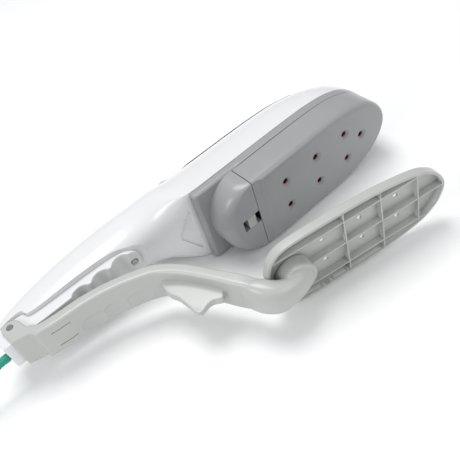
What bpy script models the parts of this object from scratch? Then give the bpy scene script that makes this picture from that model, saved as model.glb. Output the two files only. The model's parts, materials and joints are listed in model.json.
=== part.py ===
"""Handheld garment steamer with a clip-on press arm, lying on its side.

Model frame: X runs from the tail to the nose, Y from the steam face (y = 0) to the back of the head,
and Z across the body, whose middle plane is z = 0. The steamer rests on its side, so Z is also up.
All sizes below are in millimetres, and MM turns them into Blender's metres.
"""

import math

import bmesh
import bpy
import numpy as np
from mathutils import Matrix, Vector

MM = 0.001
GAP = 0.3  # between touching parts

# Driving dimensions
HEAD_HALF = 37.5  # widest half-width, at the head frame's rim
NOSE_X = 118.0
FRAME_REAR_X = -69.0
RIM_Y = 32.5  # top of the head frame
PART_Y = 25.5  # underside of the head frame's rim
COVER_REAR_X = -30.5  # where the sole cover meets the latch housing
CREASE_X = -21.0  # rear edge of the flat steam face
TAIL_X = -247.0
SHELL_WALL = 2.4
COVER_WALL = 2.5

PIVOT = (-232.0, 58.5)  # press arm's hinge
ARM_HALF = 15.8
ARM_WALL = 2.4
KEEL_HALF = 12.6  # half-width of the grip below the crease line
PRESS_ANGLE = math.radians(-11.31)
PRESS_ORIGIN = (-9.2, -71.85)  # a point of the press plate's ribbed face
PRESS_DEPTH = 8.0
BUTTON_X = -62.0

CORD_RADIUS = 2.5
CORD_EXIT = (-245.5, 50.8, 0.0)  # middle of the hole in the tail
COIL_CENTRE = (-336.0, 76.0)
COIL_RADIUS = 30.0  # to the middle of the turns
COIL_WIDTH = 20.9  # four turns side by side
COIL_HEIGHT = 10.1  # two layers
PLUG_Y = 131.5
PLUG_X = -347.0  # where the lead enters the plug's relief

FLOOR_Z = -HEAD_HALF
CENTRE_X = -64.7  # middle of the steamer's own length
CENTRE_Y = 5.1  # middle of its depth

# Body stations: x, lowest y, highest y, half-width, y of the widest place
BODY_STATIONS = (
    (-247.0, 51.0, 74.0, 9.0, 63.0),
    (-241.0, 48.6, 78.0, 12.5, 63.5),
    (-225.0, 48.0, 83.0, 15.5, 66.0),
    (-200.0, 47.6, 88.5, 18.0, 69.0),
    (-172.0, 47.0, 91.8, 19.5, 72.0),
    (-150.0, 46.6, 93.0, 20.0, 74.0),
    (-130.0, 46.6, 94.0, 20.5, 73.0),
    (-114.0, 44.8, 93.0, 22.8, 69.0),
    (-100.0, 40.6, 91.0, 26.5, 62.0),
    (-85.0, 34.8, 87.5, 34.0, 49.0),
    (-72.0, 32.5, 85.3, 37.3, 36.0),
    (-60.0, 32.5, 84.9, 37.3, 33.5),
    (-30.0, 32.5, 84.5, 37.3, 33.5),
    (10.0, 32.5, 84.0, 37.3, 33.5),
    (45.0, 32.5, 82.0, 36.9, 33.5),
    (70.0, 32.5, 76.5, 34.9, 33.5),
    (90.0, 32.5, 68.5, 29.9, 33.5),
    (104.0, 32.5, 59.0, 22.0, 33.5),
    (112.0, 32.5, 49.5, 13.6, 33.5),
    (116.5, 32.5, 41.0, 4.0, 33.5),
)

# Head plan: x and half-width along the sides, from the latch joint to the nose
PLAN_SIDE = (
    (-30.5, 36.6),
    (10.0, 36.8),
    (45.0, 36.6),
    (66.0, 35.4),
    (84.0, 32.0),
    (98.0, 26.2),
    (108.0, 18.6),
    (114.5, 9.4),
    (116.6, 0.0),
)

STEAM_HOLES = tuple((x, z) for x in (0.0, 34.0, 67.5) for z in (13.3, -13.3)) + ((86.0, 0.0),)


# ---------------------------------------------------------------- scene and materials


def clear_scene():
    for obj in list(bpy.data.objects):
        bpy.data.objects.remove(obj, do_unlink=True)


def material(name, colour, roughness, metallic=0.0, alpha=1.0):
    made = bpy.data.materials.new(name)
    made.use_nodes = True
    shader = made.node_tree.nodes["Principled BSDF"]
    shader.inputs["Base Color"].default_value = (*colour, 1.0)
    shader.inputs["Roughness"].default_value = roughness
    shader.inputs["Metallic"].default_value = metallic
    shader.inputs["Alpha"].default_value = alpha
    return made


clear_scene()
PARTS = bpy.data.collections.new("handheld_steamer")
CUTTERS = bpy.data.collections.new("cutters")
for group in (PARTS, CUTTERS):
    bpy.context.scene.collection.children.link(group)

WHITE = material("white_gloss", (0.88, 0.88, 0.87), 0.25)
GREY = material("head_grey", (0.33, 0.35, 0.36), 0.35)
PALE_GREY = material("pale_grey", (0.45, 0.48, 0.46), 0.35)
TEAL_CLEAR = material("teal_clear", (0.02, 0.22, 0.22), 0.1, alpha=0.6)
TEAL = material("cord_teal", (0.01, 0.29, 0.19), 0.45)
MILKY = material("milky_white", (0.85, 0.9, 0.9), 0.2)
ALUMINIUM = material("cast_aluminium", (0.6, 0.6, 0.6), 0.45, 1.0)
STEEL = material("bright_steel", (0.55, 0.55, 0.55), 0.3, 1.0)
BRASS = material("brass", (0.7, 0.52, 0.22), 0.3, 1.0)
RED = material("red_silicone", (0.45, 0.02, 0.01), 0.6)
BLACK = material("black_plastic", (0.03, 0.03, 0.03), 0.5)
HOSE = material("clear_hose", (0.75, 0.75, 0.72), 0.3)

FRAME = bpy.data.objects.new("steamer_frame", None)
FRAME.location = (-CENTRE_X * MM, -CENTRE_Y * MM, -FLOOR_Z * MM)
PARTS.objects.link(FRAME)


def pivot_empty(name, place):
    """An empty on a joint's axis, which the joint's pieces hang from."""
    empty = bpy.data.objects.new(name, None)
    empty.location = Vector(place) * MM
    empty.parent = FRAME
    PARTS.objects.link(empty)
    return empty


PRESS_PIVOT = pivot_empty("press_pivot", (*PIVOT, 0.0))
COVER_GUIDE = pivot_empty("cover_guide", (COVER_REAR_X, 0.0, 0.0))
LATCH_GUIDE = pivot_empty("latch_guide", (-37.0, 2.0, 0.0))
BUTTON_GUIDE = pivot_empty("button_guide", (BUTTON_X, 86.0, 0.0))
CAP_GUIDE = pivot_empty("cap_guide", (38.0, 83.0, 0.0))


def place(obj, parent=FRAME):
    """Hang a mesh, drawn in the model frame, from an empty without moving it."""
    obj.parent = parent
    if parent is not FRAME:
        obj.location = -Vector(parent.location)
    return obj


# ---------------------------------------------------------------- shape helpers


def from_bmesh(name, shape, skin=None, parent=FRAME, cutter=False):
    """A new object from a bmesh in millimetres."""
    bmesh.ops.recalc_face_normals(shape, faces=shape.faces)
    bmesh.ops.scale(shape, vec=(MM, MM, MM), verts=shape.verts)
    mesh = bpy.data.meshes.new(name)
    shape.to_mesh(mesh)
    shape.free()
    mesh.shade_smooth()
    mesh.set_sharp_from_angle(angle=math.radians(35))
    obj = bpy.data.objects.new(name, mesh)
    if cutter:
        obj.hide_render = True
        obj.display_type = "WIRE"
        CUTTERS.objects.link(obj)
    else:
        mesh.materials.append(skin)
        PARTS.objects.link(obj)
    return place(obj, parent)


def add_box(shape, low, high):
    size = [b - a for a, b in zip(low, high)]
    middle = [(a + b) / 2 for a, b in zip(low, high)]
    matrix = Matrix.Translation(middle) @ Matrix.Diagonal((*size, 1.0))
    return bmesh.ops.create_cube(shape, size=1.0, matrix=matrix)["verts"]


def add_rod(shape, start, end, radius, end_radius=None, sides=20):
    """A cylinder or cone from start to end."""
    start = Vector(start)
    along = Vector(end) - start
    turn = Vector((0, 0, 1)).rotation_difference(along).to_matrix().to_4x4()
    matrix = Matrix.Translation(start + along / 2) @ turn
    bmesh.ops.create_cone(
        shape,
        cap_ends=True,
        segments=sides,
        radius1=radius,
        radius2=radius if end_radius is None else end_radius,
        depth=along.length,
        matrix=matrix,
    )


def box(name, low, high, skin=None, parent=FRAME, cutter=False, bevel=0.0):
    shape = bmesh.new()
    add_box(shape, low, high)
    if bevel:
        bmesh.ops.bevel(shape, geom=list(shape.edges), offset=bevel, segments=2, affect="EDGES", profile=0.5)
    return from_bmesh(name, shape, skin, parent, cutter)


def rods(name, pieces, skin=None, parent=FRAME, cutter=False, sides=20):
    """One object of separate rods: each piece is start, end, radius and an optional end radius."""
    shape = bmesh.new()
    for start, end, *radii in pieces:
        add_rod(shape, start, end, radii[0], radii[-1], sides)
    return from_bmesh(name, shape, skin, parent, cutter)


def loft(name, rings, skin=None, parent=FRAME, cutter=False):
    """A closed skin through rings of the same number of points, with flat ends."""
    shape = bmesh.new()
    rows = [[shape.verts.new(point) for point in ring] for ring in rings]
    count = len(rows[0])
    for near, far in zip(rows, rows[1:]):
        for i in range(count):
            j = (i + 1) % count
            shape.faces.new((near[i], near[j], far[j], far[i]))
    shape.faces.new(rows[0])
    shape.faces.new(rows[-1])
    return from_bmesh(name, shape, skin, parent, cutter)


def extrude_plan(name, outline, low, high, skin=None, parent=FRAME, cutter=False):
    """An outline of (x, z) points, raised along Y."""
    return loft(name, [[(x, y, z) for x, z in outline] for y in (low, high)], skin, parent, cutter)


def extrude_side(name, outline, low, high, skin=None, parent=FRAME, cutter=False):
    """An outline of (x, y) points, raised along Z."""
    return loft(name, [[(x, y, z) for x, y in outline] for z in (low, high)], skin, parent, cutter)


def turned(name, profile, centre, axis, skin, parent=FRAME, sides=28):
    """A solid of revolution: profile points are (distance along the axis, radius)."""
    turn = Vector((0, 0, 1)).rotation_difference(Vector(axis)).to_matrix().to_4x4()
    matrix = Matrix.Translation(centre) @ turn
    angles = [2 * math.pi * k / sides for k in range(sides)]
    rings = []
    for height, radius in profile:
        rings.append([matrix @ Vector((radius * math.cos(a), radius * math.sin(a), height)) for a in angles])
    return loft(name, rings, skin, parent)


def tube(name, points, radius, skin, parent=FRAME, resolution=2):
    """A round tube along a list of points."""
    curve = bpy.data.curves.new(name, "CURVE")
    curve.dimensions = "3D"
    curve.bevel_depth = radius * MM
    curve.bevel_resolution = resolution
    curve.use_fill_caps = True
    spline = curve.splines.new("POLY")
    spline.points.add(len(points) - 1)
    for slot, point in zip(spline.points, points):
        slot.co = (*(Vector(point) * MM), 1.0)
    curve.materials.append(skin)
    obj = bpy.data.objects.new(name, curve)
    PARTS.objects.link(obj)
    return place(obj, parent)


def screw(name, tip, neck, top, radius=1.6):
    """A pan-head screw in one solid: a shank from tip to neck, and a head from neck to top."""
    tip, neck, top = Vector(tip), Vector(neck), Vector(top)
    axis = (top - tip).normalized()
    shank, height = (neck - tip).length, (top - tip).length
    head = 2 * radius
    profile = ((0.0, radius), (shank, radius), (shank, head), (height - 0.6, head), (height, 0.7 * head))
    return turned(name, profile, tip, axis, STEEL, sides=14)


def boolean(obj, other, operation="DIFFERENCE", solver="EXACT"):
    step = obj.modifiers.new(operation.lower(), "BOOLEAN")
    step.operation = operation
    step.solver = solver
    step.object = other
    return obj


def smooth_route(points, count):
    """Points at even steps along a smooth curve through the given ones."""
    knots = np.array(points, float)
    padded = np.vstack([2 * knots[0] - knots[1], knots, 2 * knots[-1] - knots[-2]])
    fine = []
    for a, b, c, d in zip(padded, padded[1:], padded[2:], padded[3:]):
        for t in np.linspace(0, 1, 24, endpoint=False):
            fine.append(
                b + 0.5 * ((c - a) * t + (2 * a - 5 * b + 4 * c - d) * t**2 + (3 * b - a - 3 * c + d) * t**3)
            )
    fine.append(knots[-1])
    fine = np.array(fine)
    walked = np.concatenate([[0], np.cumsum(np.linalg.norm(np.diff(fine, axis=0), axis=1))])
    steps = np.linspace(0, walked[-1], count)
    return [tuple(np.interp(s, walked, fine[:, k]) for k in range(3)) for s in steps]


# ---------------------------------------------------------------- outlines


def interpolate(stations, x, column):
    """A smooth value between stations: cubic steps whose slopes never overshoot."""
    xs = np.array([row[0] for row in stations])
    ys = np.array([row[column] for row in stations])
    slopes = np.diff(ys) / np.diff(xs)
    ends = np.concatenate([[slopes[0]], slopes, [slopes[-1]]])
    same = ends[:-1] * ends[1:] > 0
    tangents = np.where(same, 2 * ends[:-1] * ends[1:] / np.where(same, ends[:-1] + ends[1:], 1), 0)
    k = int(np.clip(np.searchsorted(xs, x) - 1, 0, len(xs) - 2))
    width = xs[k + 1] - xs[k]
    t = (x - xs[k]) / width
    rise = (2 * t**3 - 3 * t**2 + 1) * ys[k] + (3 * t**2 - 2 * t**3) * ys[k + 1]
    lean = (t**3 - 2 * t**2 + t) * tangents[k] + (t**3 - t**2) * tangents[k + 1]
    return float(rise + width * lean)


def body_ring(x, inset=0.0, points=28):
    """The body's section at x: a rounded crown over a flatter base."""
    low, high, half, wide = (interpolate(BODY_STATIONS, x, column) for column in range(1, 5))
    low, high, half = low + inset, high - inset, half - inset
    wide = max(wide, low + 0.8)
    ring = []
    for k in range(points):
        angle = 2 * math.pi * k / points
        side, rise = math.cos(angle), math.sin(angle)
        power = 2 / 2.25 if rise > 0 else 2 / 2.8
        reach = high - wide if rise > 0 else wide - low
        z = half * math.copysign(abs(side) ** power, side)
        y = wide + reach * math.copysign(abs(rise) ** power, rise)
        ring.append((x, y, z))
    return ring


def plan_outline(inset=0.0, rear=COVER_REAR_X, steps=14):
    """The head's plan from a straight rear edge round the nose, moved inwards by inset."""
    nose = NOSE_X - 1.4
    sides = []
    for k in range(steps + 1):
        x = nose - (nose - rear) * (1 - math.cos(math.pi / 2 * k / steps))
        sides.append((x, max(interpolate(PLAN_SIDE, x, 1), 0.0)))
    top = [(x, z) for x, z in sides if z > 0.5]
    outline = [(nose, 0.0)] + top + [(x, -z) for x, z in reversed(top)]
    return offset_outline(outline, inset)


def offset_outline(outline, inset):
    """Each point moved inwards along the mean of its two edges' normals."""
    if not inset:
        return outline
    points = [Vector(p) for p in outline]
    centre = sum(points, Vector((0, 0))) / len(points)
    moved = []
    for before, here, after in zip([points[-1]] + points[:-1], points, points[1:] + points[:1]):
        first, second = (here - before).normalized(), (after - here).normalized()
        normal = Vector((-(first + second).y, (first + second).x)).normalized()
        if normal.dot(centre - here) < 0:
            normal.negate()
        stretch = max(abs(normal.dot(Vector((-first.y, first.x)))), 0.5)
        moved.append(tuple(here + normal * inset / stretch))
    return moved


def rounded_box_outline(low, high, radius, steps=4):
    """A rectangle in two coordinates with round corners."""
    outline = []
    corners = ((high[0], high[1], 0), (low[0], high[1], 90), (low[0], low[1], 180), (high[0], low[1], 270))
    for x, y, start in corners:
        cx = x - math.copysign(radius, x - (low[0] + high[0]) / 2)
        cy = y - math.copysign(radius, y - (low[1] + high[1]) / 2)
        for k in range(steps + 1):
            angle = math.radians(start + 90 * k / steps)
            outline.append((cx + radius * math.cos(angle), cy + radius * math.sin(angle)))
    return outline


# ---------------------------------------------------------------- white body


def body_xs(start, end, count):
    """Places along the body, closer together towards the nose."""
    return [start + (end - start) * math.sin(math.pi / 2 * k / (count - 1)) ** 0.9 for k in range(count)]


BODY_END = 116.2
OUTER_XS = body_xs(TAIL_X, BODY_END, 30)


def body_solid(name, inset, start, end, count, cutter=True, skin=None):
    return loft(name, [body_ring(x, inset) for x in body_xs(start, end, count)], skin, cutter=cutter)


# Side view of the line where the grip cover meets the body, from the tail to the nose
CREASE = (
    (-252.0, 66.0),
    (-221.0, 66.0),
    (-214.0, 58.5),
    (-182.0, 57.0),
    (-160.0, 56.5),
    (-142.0, 55.0),
    (-129.0, 51.5),
    (-118.0, 46.5),
    (-110.0, 40.0),
)


def below_crease(drop=0.0):
    """The side outline under the crease line, lowered by drop."""
    return [(x, y - drop) for x, y in CREASE] + [(-110.0, 25.0), (-252.0, 25.0)]


def body_cavity():
    """The space inside the body shell: a handle part above the crease, and the open head."""
    handle = body_solid("handle_cavity", SHELL_WALL, TAIL_X + 3.0, -40.0, 18)
    ledge = [(x - 0.5, y + SHELL_WALL) for x, y in CREASE] + [(-107.0, 25.0), (-256.0, 25.0)]
    boolean(handle, extrude_side("ledge_limit", ledge, -40.0, 40.0, cutter=True), solver="MANIFOLD")
    rings = []
    for x in body_xs(-65.0, BODY_END - 3.0, 20):
        rings.append([(px, y if y > 40 else y - 12, z) for px, y, z in body_ring(x, SHELL_WALL)])
    head = loft("head_cavity", rings, cutter=True)
    mouth = box("grip_mouth", (-238.0, 40.0, 2.2 - KEEL_HALF), (-121.5, 68.8, KEEL_HALF - 2.2), cutter=True)
    return handle, head, mouth


def make_grip_cover():
    """The finger grip that closes the handle's underside, with the press arm's pivot in its tail."""
    rear, front, low = TAIL_X + 1.5, -121.0, 47.0
    top = [(x, y) for x, y in below_crease(GAP)[:8]]
    base = [(front, 47.3), (front - 3.0, low), (rear + 2.0, low), (rear, low + 2)]
    outline = [(rear, top[0][1])] + top[1:7] + base
    cover = extrude_side("grip_cover", outline, -KEEL_HALF, KEEL_HALF, WHITE)
    inner = [(rear + 3.0, 70.0), (-216.0, 70.0), (-209.0, 62.0), (-140.0, 60.0), (-134.0, 56.0)]
    inner += [(-132.0, 53.4), (-188.0, 53.4), (-192.0, 50.2), (rear + 3.0, 50.2)]
    room = KEEL_HALF - SHELL_WALL
    boolean(cover, extrude_side("grip_hollow", inner, -room, room, cutter=True))
    hollows = [((x, 41.9, -30), (x, 41.9, 30), 9.4) for x in (-176.0, -157.0, -138.0)]
    boolean(cover, rods("finger_hollows", hollows, cutter=True, sides=24))
    posts = [((x, 47.5, 0), (x, y, 0), 4.4) for x, y in ((-128.0, 51.4), (-204.0, 58.0))]
    boolean(cover, rods("grip_posts", posts, cutter=True, sides=16), "UNION")
    wells = [((x, 40.0, 0), (x, y, 0), 3.1) for x, y in ((-128.0, 49.6), (-204.0, 52.0))]
    boolean(cover, rods("grip_wells", wells, cutter=True, sides=16))
    bores = [((x, 40.0, 0), (x, 70.0, 0), 1.9) for x in (-128.0, -204.0)]
    boolean(cover, rods("grip_bores", bores, cutter=True, sides=14))
    boolean(cover, rods("pin_hole", [((*PIVOT, -30), (*PIVOT, 30), 2.9)], cutter=True))
    exit_x, exit_y, _ = CORD_EXIT
    boolean(cover, rods("cord_hole", [((exit_x - 9, exit_y, 0), (exit_x + 5, exit_y, 0), 3.2)], cutter=True))
    screw("grip_screw_1", (-128.0, 60.0, 0.0), (-128.0, 49.2, 0.0), (-128.0, 47.3, 0.0), 1.5)
    screw("grip_screw_2", (-204.0, 68.0, 0.0), (-204.0, 51.6, 0.0), (-204.0, 49.7, 0.0), 1.5)
    return cover


TANK_LOW_X, TANK_HIGH_X, TANK_HALF = -50.5, 82.0, 22.5
TANK_RISE = 1.1  # the tank stands this much proud of the shell


def tank_outline(inset):
    low, high = (TANK_LOW_X + inset, -TANK_HALF + inset), (TANK_HIGH_X - inset, TANK_HALF - inset)
    return rounded_box_outline(low, high, 12 - inset, 5)


def make_body_shell():
    """The white body: handle, neck and head in one moulding, open below and above."""
    shell = loft("body_shell", [body_ring(x) for x in OUTER_XS], WHITE)
    scoop = extrude_side("grip_cut", below_crease(), -40.0, 40.0, cutter=True)
    for cutter in (scoop, *body_cavity()):
        boolean(shell, cutter, solver="MANIFOLD")
    heights = ((-128.0, 53.0, 99.0), (-204.0, 60.0, 87.0))
    pillars = [((x, low, 0), (x, high, 0), 3.8) for x, low, high in heights]
    posts = rods("grip_screw_posts", pillars, cutter=True, sides=16)
    boolean(posts, body_solid("post_limit", 1.0, TAIL_X + 2.0, BODY_END - 2.0, 24), "INTERSECT")
    boolean(shell, posts, "UNION", "MANIFOLD")
    window = extrude_plan("tank_window", tank_outline(0.0), 60.0, 110.0, cutter=True)
    button_hole = rods("button_hole", [((BUTTON_X, 70, 0), (BUTTON_X, 110, 0), 8.6)], cutter=True, sides=28)
    drills = [((x, 45.0, 0), (x, 74.0, 0), 1.8) for x in (-128.0, -204.0)]
    bores = rods("post_bores", drills, cutter=True, sides=14)
    for cutter in (window, button_hole, bores):
        boolean(shell, cutter, solver="MANIFOLD")
    return shell


# ---------------------------------------------------------------- head


def housing_outline(inset=0.0, steps=12):
    """The latch housing's plan: square at the sole cover, half an ellipse at the rear."""
    front = COVER_REAR_X - GAP
    outline = []
    for k in range(steps + 1):
        angle = math.pi * k / steps
        depth = math.sin(angle) ** 0.9 if 0 < k < steps else 0.0
        outline.append((front - 3.0 - (28.5 - inset) * depth, (35.8 - inset) * math.cos(angle)))
    return [(front - inset * 0.6, 35.8 - inset)] + outline + [(front - inset * 0.6, inset - 35.8)]


def make_head_frame():
    """Bezel, rear plate and latch housing in one moulding."""
    rear = FRAME_REAR_X
    rim = [(x, z) for x, z in plan_outline(-0.7, COVER_REAR_X) if x > COVER_REAR_X + 1]
    half = len(rim) // 2
    corner = 2.5
    levels = []
    for y, inset in ((PART_Y, 3.0), (PART_Y + 0.9, 1.2), (PART_Y + 3.0, 0.0), (RIM_Y - GAP, 0.0)):
        side, back = HEAD_HALF - inset - corner, rear + inset + corner
        tail = []
        for k in range(4):
            angle = math.radians(90 + 30 * k)
            tail.append((back + corner * math.cos(angle), side + corner * math.sin(angle)))
        tail = [(COVER_REAR_X - 4.0, HEAD_HALF - inset)] + tail
        outline = rim[: half + 1] + tail + [(x, -z) for x, z in reversed(tail)] + rim[half + 1 :]
        levels.append([(x, y, z) for x, z in outline])
    frame = loft("head_frame", levels, GREY)
    opening = extrude_plan("frame_opening", plan_outline(4.5, COVER_REAR_X - 6.0), 10.0, 50.0, cutter=True)
    levels = ((27.6, 0.0), (12.0, 0.6), (6.5, 2.4), (3.6, 5.2), (2.0, 9.5))
    housing = loft(
        "latch_housing",
        [[(x, y, z) for x, z in housing_outline(inset)] for y, inset in levels],
        cutter=True,
    )
    boolean(frame, opening)
    boolean(frame, housing, "UNION", "MANIFOLD")
    inner_levels = ((40.0, 3.0), (12.0, 3.4), (8.0, 5.6))
    hollow = loft(
        "housing_hollow",
        [[(min(x, COVER_REAR_X - 3.2), y, z) for x, z in housing_outline(inset)] for y, inset in inner_levels],
        cutter=True,
    )
    boolean(frame, hollow, solver="MANIFOLD")
    slot = box("latch_slot", (-48.0, -2.0, -5.8), (-29.0, 11.0, 5.8), cutter=True)
    boolean(frame, slot, solver="MANIFOLD")
    passage = box("lead_passage", (-38.5, 13.3, -20.0), (-26.0, 34.0, 20.0), cutter=True)
    boolean(frame, passage)
    for k, z in enumerate((-26.6, 26.6), 1):
        lug = box(f"frame_lug_{k}", (-46.2, 22.0, z - 4.2), (-38.2, RIM_Y - GAP, z + 4.2), cutter=True)
        boolean(frame, lug, "UNION", "MANIFOLD")
        hole = rods(f"frame_screw_hole_{k}", [((-41.6, 15, z), (-41.6, 40, z), 1.9)], cutter=True, sides=14)
        boolean(frame, hole, solver="MANIFOLD")
        screw(f"frame_screw_{k}", (-41.6, 32.0, z), (-41.6, 21.7, z), (-41.6, 19.9, z))
    return frame


def cover_outline(inset):
    """The sole cover's plan: round the nose, and square across its rear edge."""
    sides = [(x, z) for x, z in plan_outline(inset, COVER_REAR_X - 12.0, 18) if x > COVER_REAR_X + 0.8]
    half = interpolate(PLAN_SIDE, COVER_REAR_X + 1.0, 1) - inset
    middle = len(sides) // 2
    return sides[: middle + 1] + [(COVER_REAR_X, half), (COVER_REAR_X, -half)] + sides[middle + 1 :]


def make_sole_cover():
    """A deep tray with a flat steam face, seven countersunk holes and a rounded rim."""
    levels = ((PART_Y - GAP, 0.0), (10.0, 0.3), (4.5, 0.9), (2.0, 2.2), (0.7, 3.6), (0.0, 5.0))
    rings = [[(x, y, z) for x, z in cover_outline(inset)] for y, inset in levels]
    cover = loft("sole_cover", rings, GREY, COVER_GUIDE)
    tray = plan_outline(COVER_WALL + 1.0)
    inside = extrude_plan("cover_hollow", tray, COVER_WALL, 40.0, None, COVER_GUIDE, True)
    step = [(COVER_REAR_X - 4.0, 2.3), (COVER_REAR_X, 2.1), (-24.6, 1.7), (-22.6, 1.0), (CREASE_X, 0.2)]
    step += [(-19.8, 0.0), (-19.0, -3.0), (COVER_REAR_X - 4.0, -3.0)]
    rear = extrude_side("rear_step", step, -50.0, 50.0, None, COVER_GUIDE, True)
    bores = rods(
        "steam_bores",
        [((x, -3, z), (x, 6, z), 2.5) for x, z in STEAM_HOLES],
        None,
        COVER_GUIDE,
        True,
        16,
    )
    sinks = rods(
        "steam_sinks",
        [((x, -0.6, z), (x, 1.6, z), 5.3, 2.6) for x, z in STEAM_HOLES],
        None,
        COVER_GUIDE,
        True,
        20,
    )
    for cutter in (inside, rear, bores, sinks):
        boolean(cover, cutter)
    return cover


def make_latch():
    """The ribbed slider that frees the sole cover, and its return spring."""
    slider = box("latch_slider", (-43.2, 1.6, -5.4), (-35.4, 9.6, 5.4), PALE_GREY, LATCH_GUIDE)
    foot = box("latch_foot", (-41.5, 8.6, -8.4), (-36.3, 10.4, 8.4), None, LATCH_GUIDE, True)
    boolean(slider, foot, "UNION")
    ribs = rods(
        "latch_ribs",
        [((x, 1.5, -7), (x, 1.5, 7), 0.45) for x in (-41.8, -40.1, -38.4, -36.7)],
        None,
        LATCH_GUIDE,
        True,
        8,
    )
    boolean(slider, ribs)
    turns = [
        (-47.2 + 3.5 * k / 40, 9.9 + 1.5 * math.cos(2 * math.pi * k / 8), 1.5 * math.sin(2 * math.pi * k / 8))
        for k in range(41)
    ]
    tube("latch_spring", turns, 0.25, STEEL, resolution=1)


# ---------------------------------------------------------------- boiler


def make_boiler():
    holes = rods("gasket_holes", [((x, 0, z), (x, 12, z), 2.0) for x, z in STEAM_HOLES], cutter=True, sides=14)
    gasket = extrude_plan("boiler_gasket", plan_outline(7.0, -24.0), 2.9, 4.9, RED)
    boolean(gasket, holes)
    block = extrude_plan("boiler_block", plan_outline(9.0, -22.0), 5.2, 18.5, ALUMINIUM)
    chamber = extrude_plan("steam_chamber", plan_outline(13.5, -17.0), 9.5, 30.0, cutter=True)
    island = [(x, z) for x, z in rounded_box_outline((4.0, -3.5), (62.0, 3.5), 3.0)]
    boolean(chamber, extrude_plan("chamber_island", island, 5.0, 40.0, cutter=True))
    boolean(block, holes)
    boolean(block, chamber)
    lid = extrude_plan("boiler_lid", plan_outline(9.0, -22.0), 18.8, 21.3, ALUMINIUM)
    steam_inlet = rods("steam_inlet", [((-8, 15, 0), (-8, 30, 0), 2.2)], cutter=True, sides=14)
    boolean(lid, steam_inlet)
    corners = ((-15.0, 22.0), (-15.0, -22.0), (74.0, 17.0), (74.0, -17.0))
    drills = [((x, 10, z), (x, 30, z), 1.8) for x, z in corners]
    lid_holes = rods("lid_screw_holes", drills, cutter=True, sides=14)
    boolean(lid, lid_holes)
    boolean(block, lid_holes)
    for k, (x, z) in enumerate(corners, 1):
        screw(f"boiler_screw_{k}", (x, 11.0, z), (x, 21.6, z), (x, 23.8, z), 1.5)
    return lid, block


def make_electrics():
    bend = [(-14.0, 25.0, 14.0)]
    bend += [(60.0 + 14.0 * math.sin(a), 25.0, 14.0 * math.cos(a)) for a in np.linspace(0, math.pi, 9)]
    bend += [(-14.0, 25.0, -14.0)]
    tube("heating_element", bend, 3.1, STEEL, resolution=2)
    turned(
        "thermostat",
        ((0.0, 8.0), (4.0, 8.0), (4.0, 6.0), (7.0, 6.0)),
        (22.0, 21.6, 0.0),
        (0, 1, 0),
        BLACK,
        sides=20,
    )
    tube("thermal_fuse", [(36.0, 23.8, 0), (38.0, 23.8, 0), (50.0, 23.8, 0), (52.0, 23.8, 0)], 2.0, BRASS)
    box("terminal_block", (-197.0, 66.0, -7.0), (-184.0, 75.0, 7.0), BLACK, bevel=0.8)
    for side, name in ((1, "live_lead"), (-1, "neutral_lead")):
        route = [(-183.4, 70.5, 4.0 * side), (-165, 73, 7.0 * side), (-128, 77, 11.0 * side)]
        route += [(-95, 70, 17.0 * side), (-70, 45, 21.0 * side), (-40, 30.5, 18.0 * side)]
        route += [(-19.0, 25.5, 14.0 * side), (-14.8, 25.0, 14.0 * side)]
        tube(name, smooth_route(route, 26), 1.1, BLACK, resolution=1)
    box("cord_clamp", (-233.5, 69.0, -7.5), (-226.0, 72.0, 7.5), BLACK, bevel=0.6)


# ---------------------------------------------------------------- water


def make_tank():
    """A clear tank whose crown is flush with the shells, with a sealed cap."""
    tank = loft("water_tank", [body_ring(x, -TANK_RISE) for x in OUTER_XS], TEAL_CLEAR)
    limit = extrude_plan("tank_limit", tank_outline(GAP), 48.0, 110.0, cutter=True)
    boolean(tank, limit, "INTERSECT")
    hollow = body_solid("tank_hollow", 2.2, -60.0, 100.0, 18)
    inner = extrude_plan("tank_inner", tank_outline(2.4), 50.2, 100.0, cutter=True)
    boolean(hollow, inner, "INTERSECT")
    boolean(tank, hollow)
    boolean(tank, rods("cap_seat", [((38, 82.6, 0), (38, 100, 0), 9.2)], cutter=True, sides=28))
    boolean(tank, rods("fill_hole", [((38, 70, 0), (38, 100, 0), 6.0)], cutter=True, sides=24))
    boolean(tank, rods("tank_outlet", [((-36, 40, 0), (-36, 56, 0), 1.9)], cutter=True, sides=12))
    profile = ((-6.0, 4.6), (0.6, 4.8), (0.6, 8.6), (2.4, 8.6), (3.4, 7.4))
    cap = turned("tank_cap", profile, (38, 83.6, 0), (0, 1, 0), TEAL, CAP_GUIDE)
    boolean(cap, box("cap_grip", (30, 85.6, -0.8), (46, 88.5, 0.8), None, CAP_GUIDE, True))
    seal = rods("tank_seal", [((38, 82.9, 0), (38, 83.9, 0), 7.6)], RED, CAP_GUIDE, sides=28)
    boolean(seal, rods("seal_hole", [((38, 80, 0), (38, 90, 0), 5.2)], None, CAP_GUIDE, True, 24))


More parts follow.
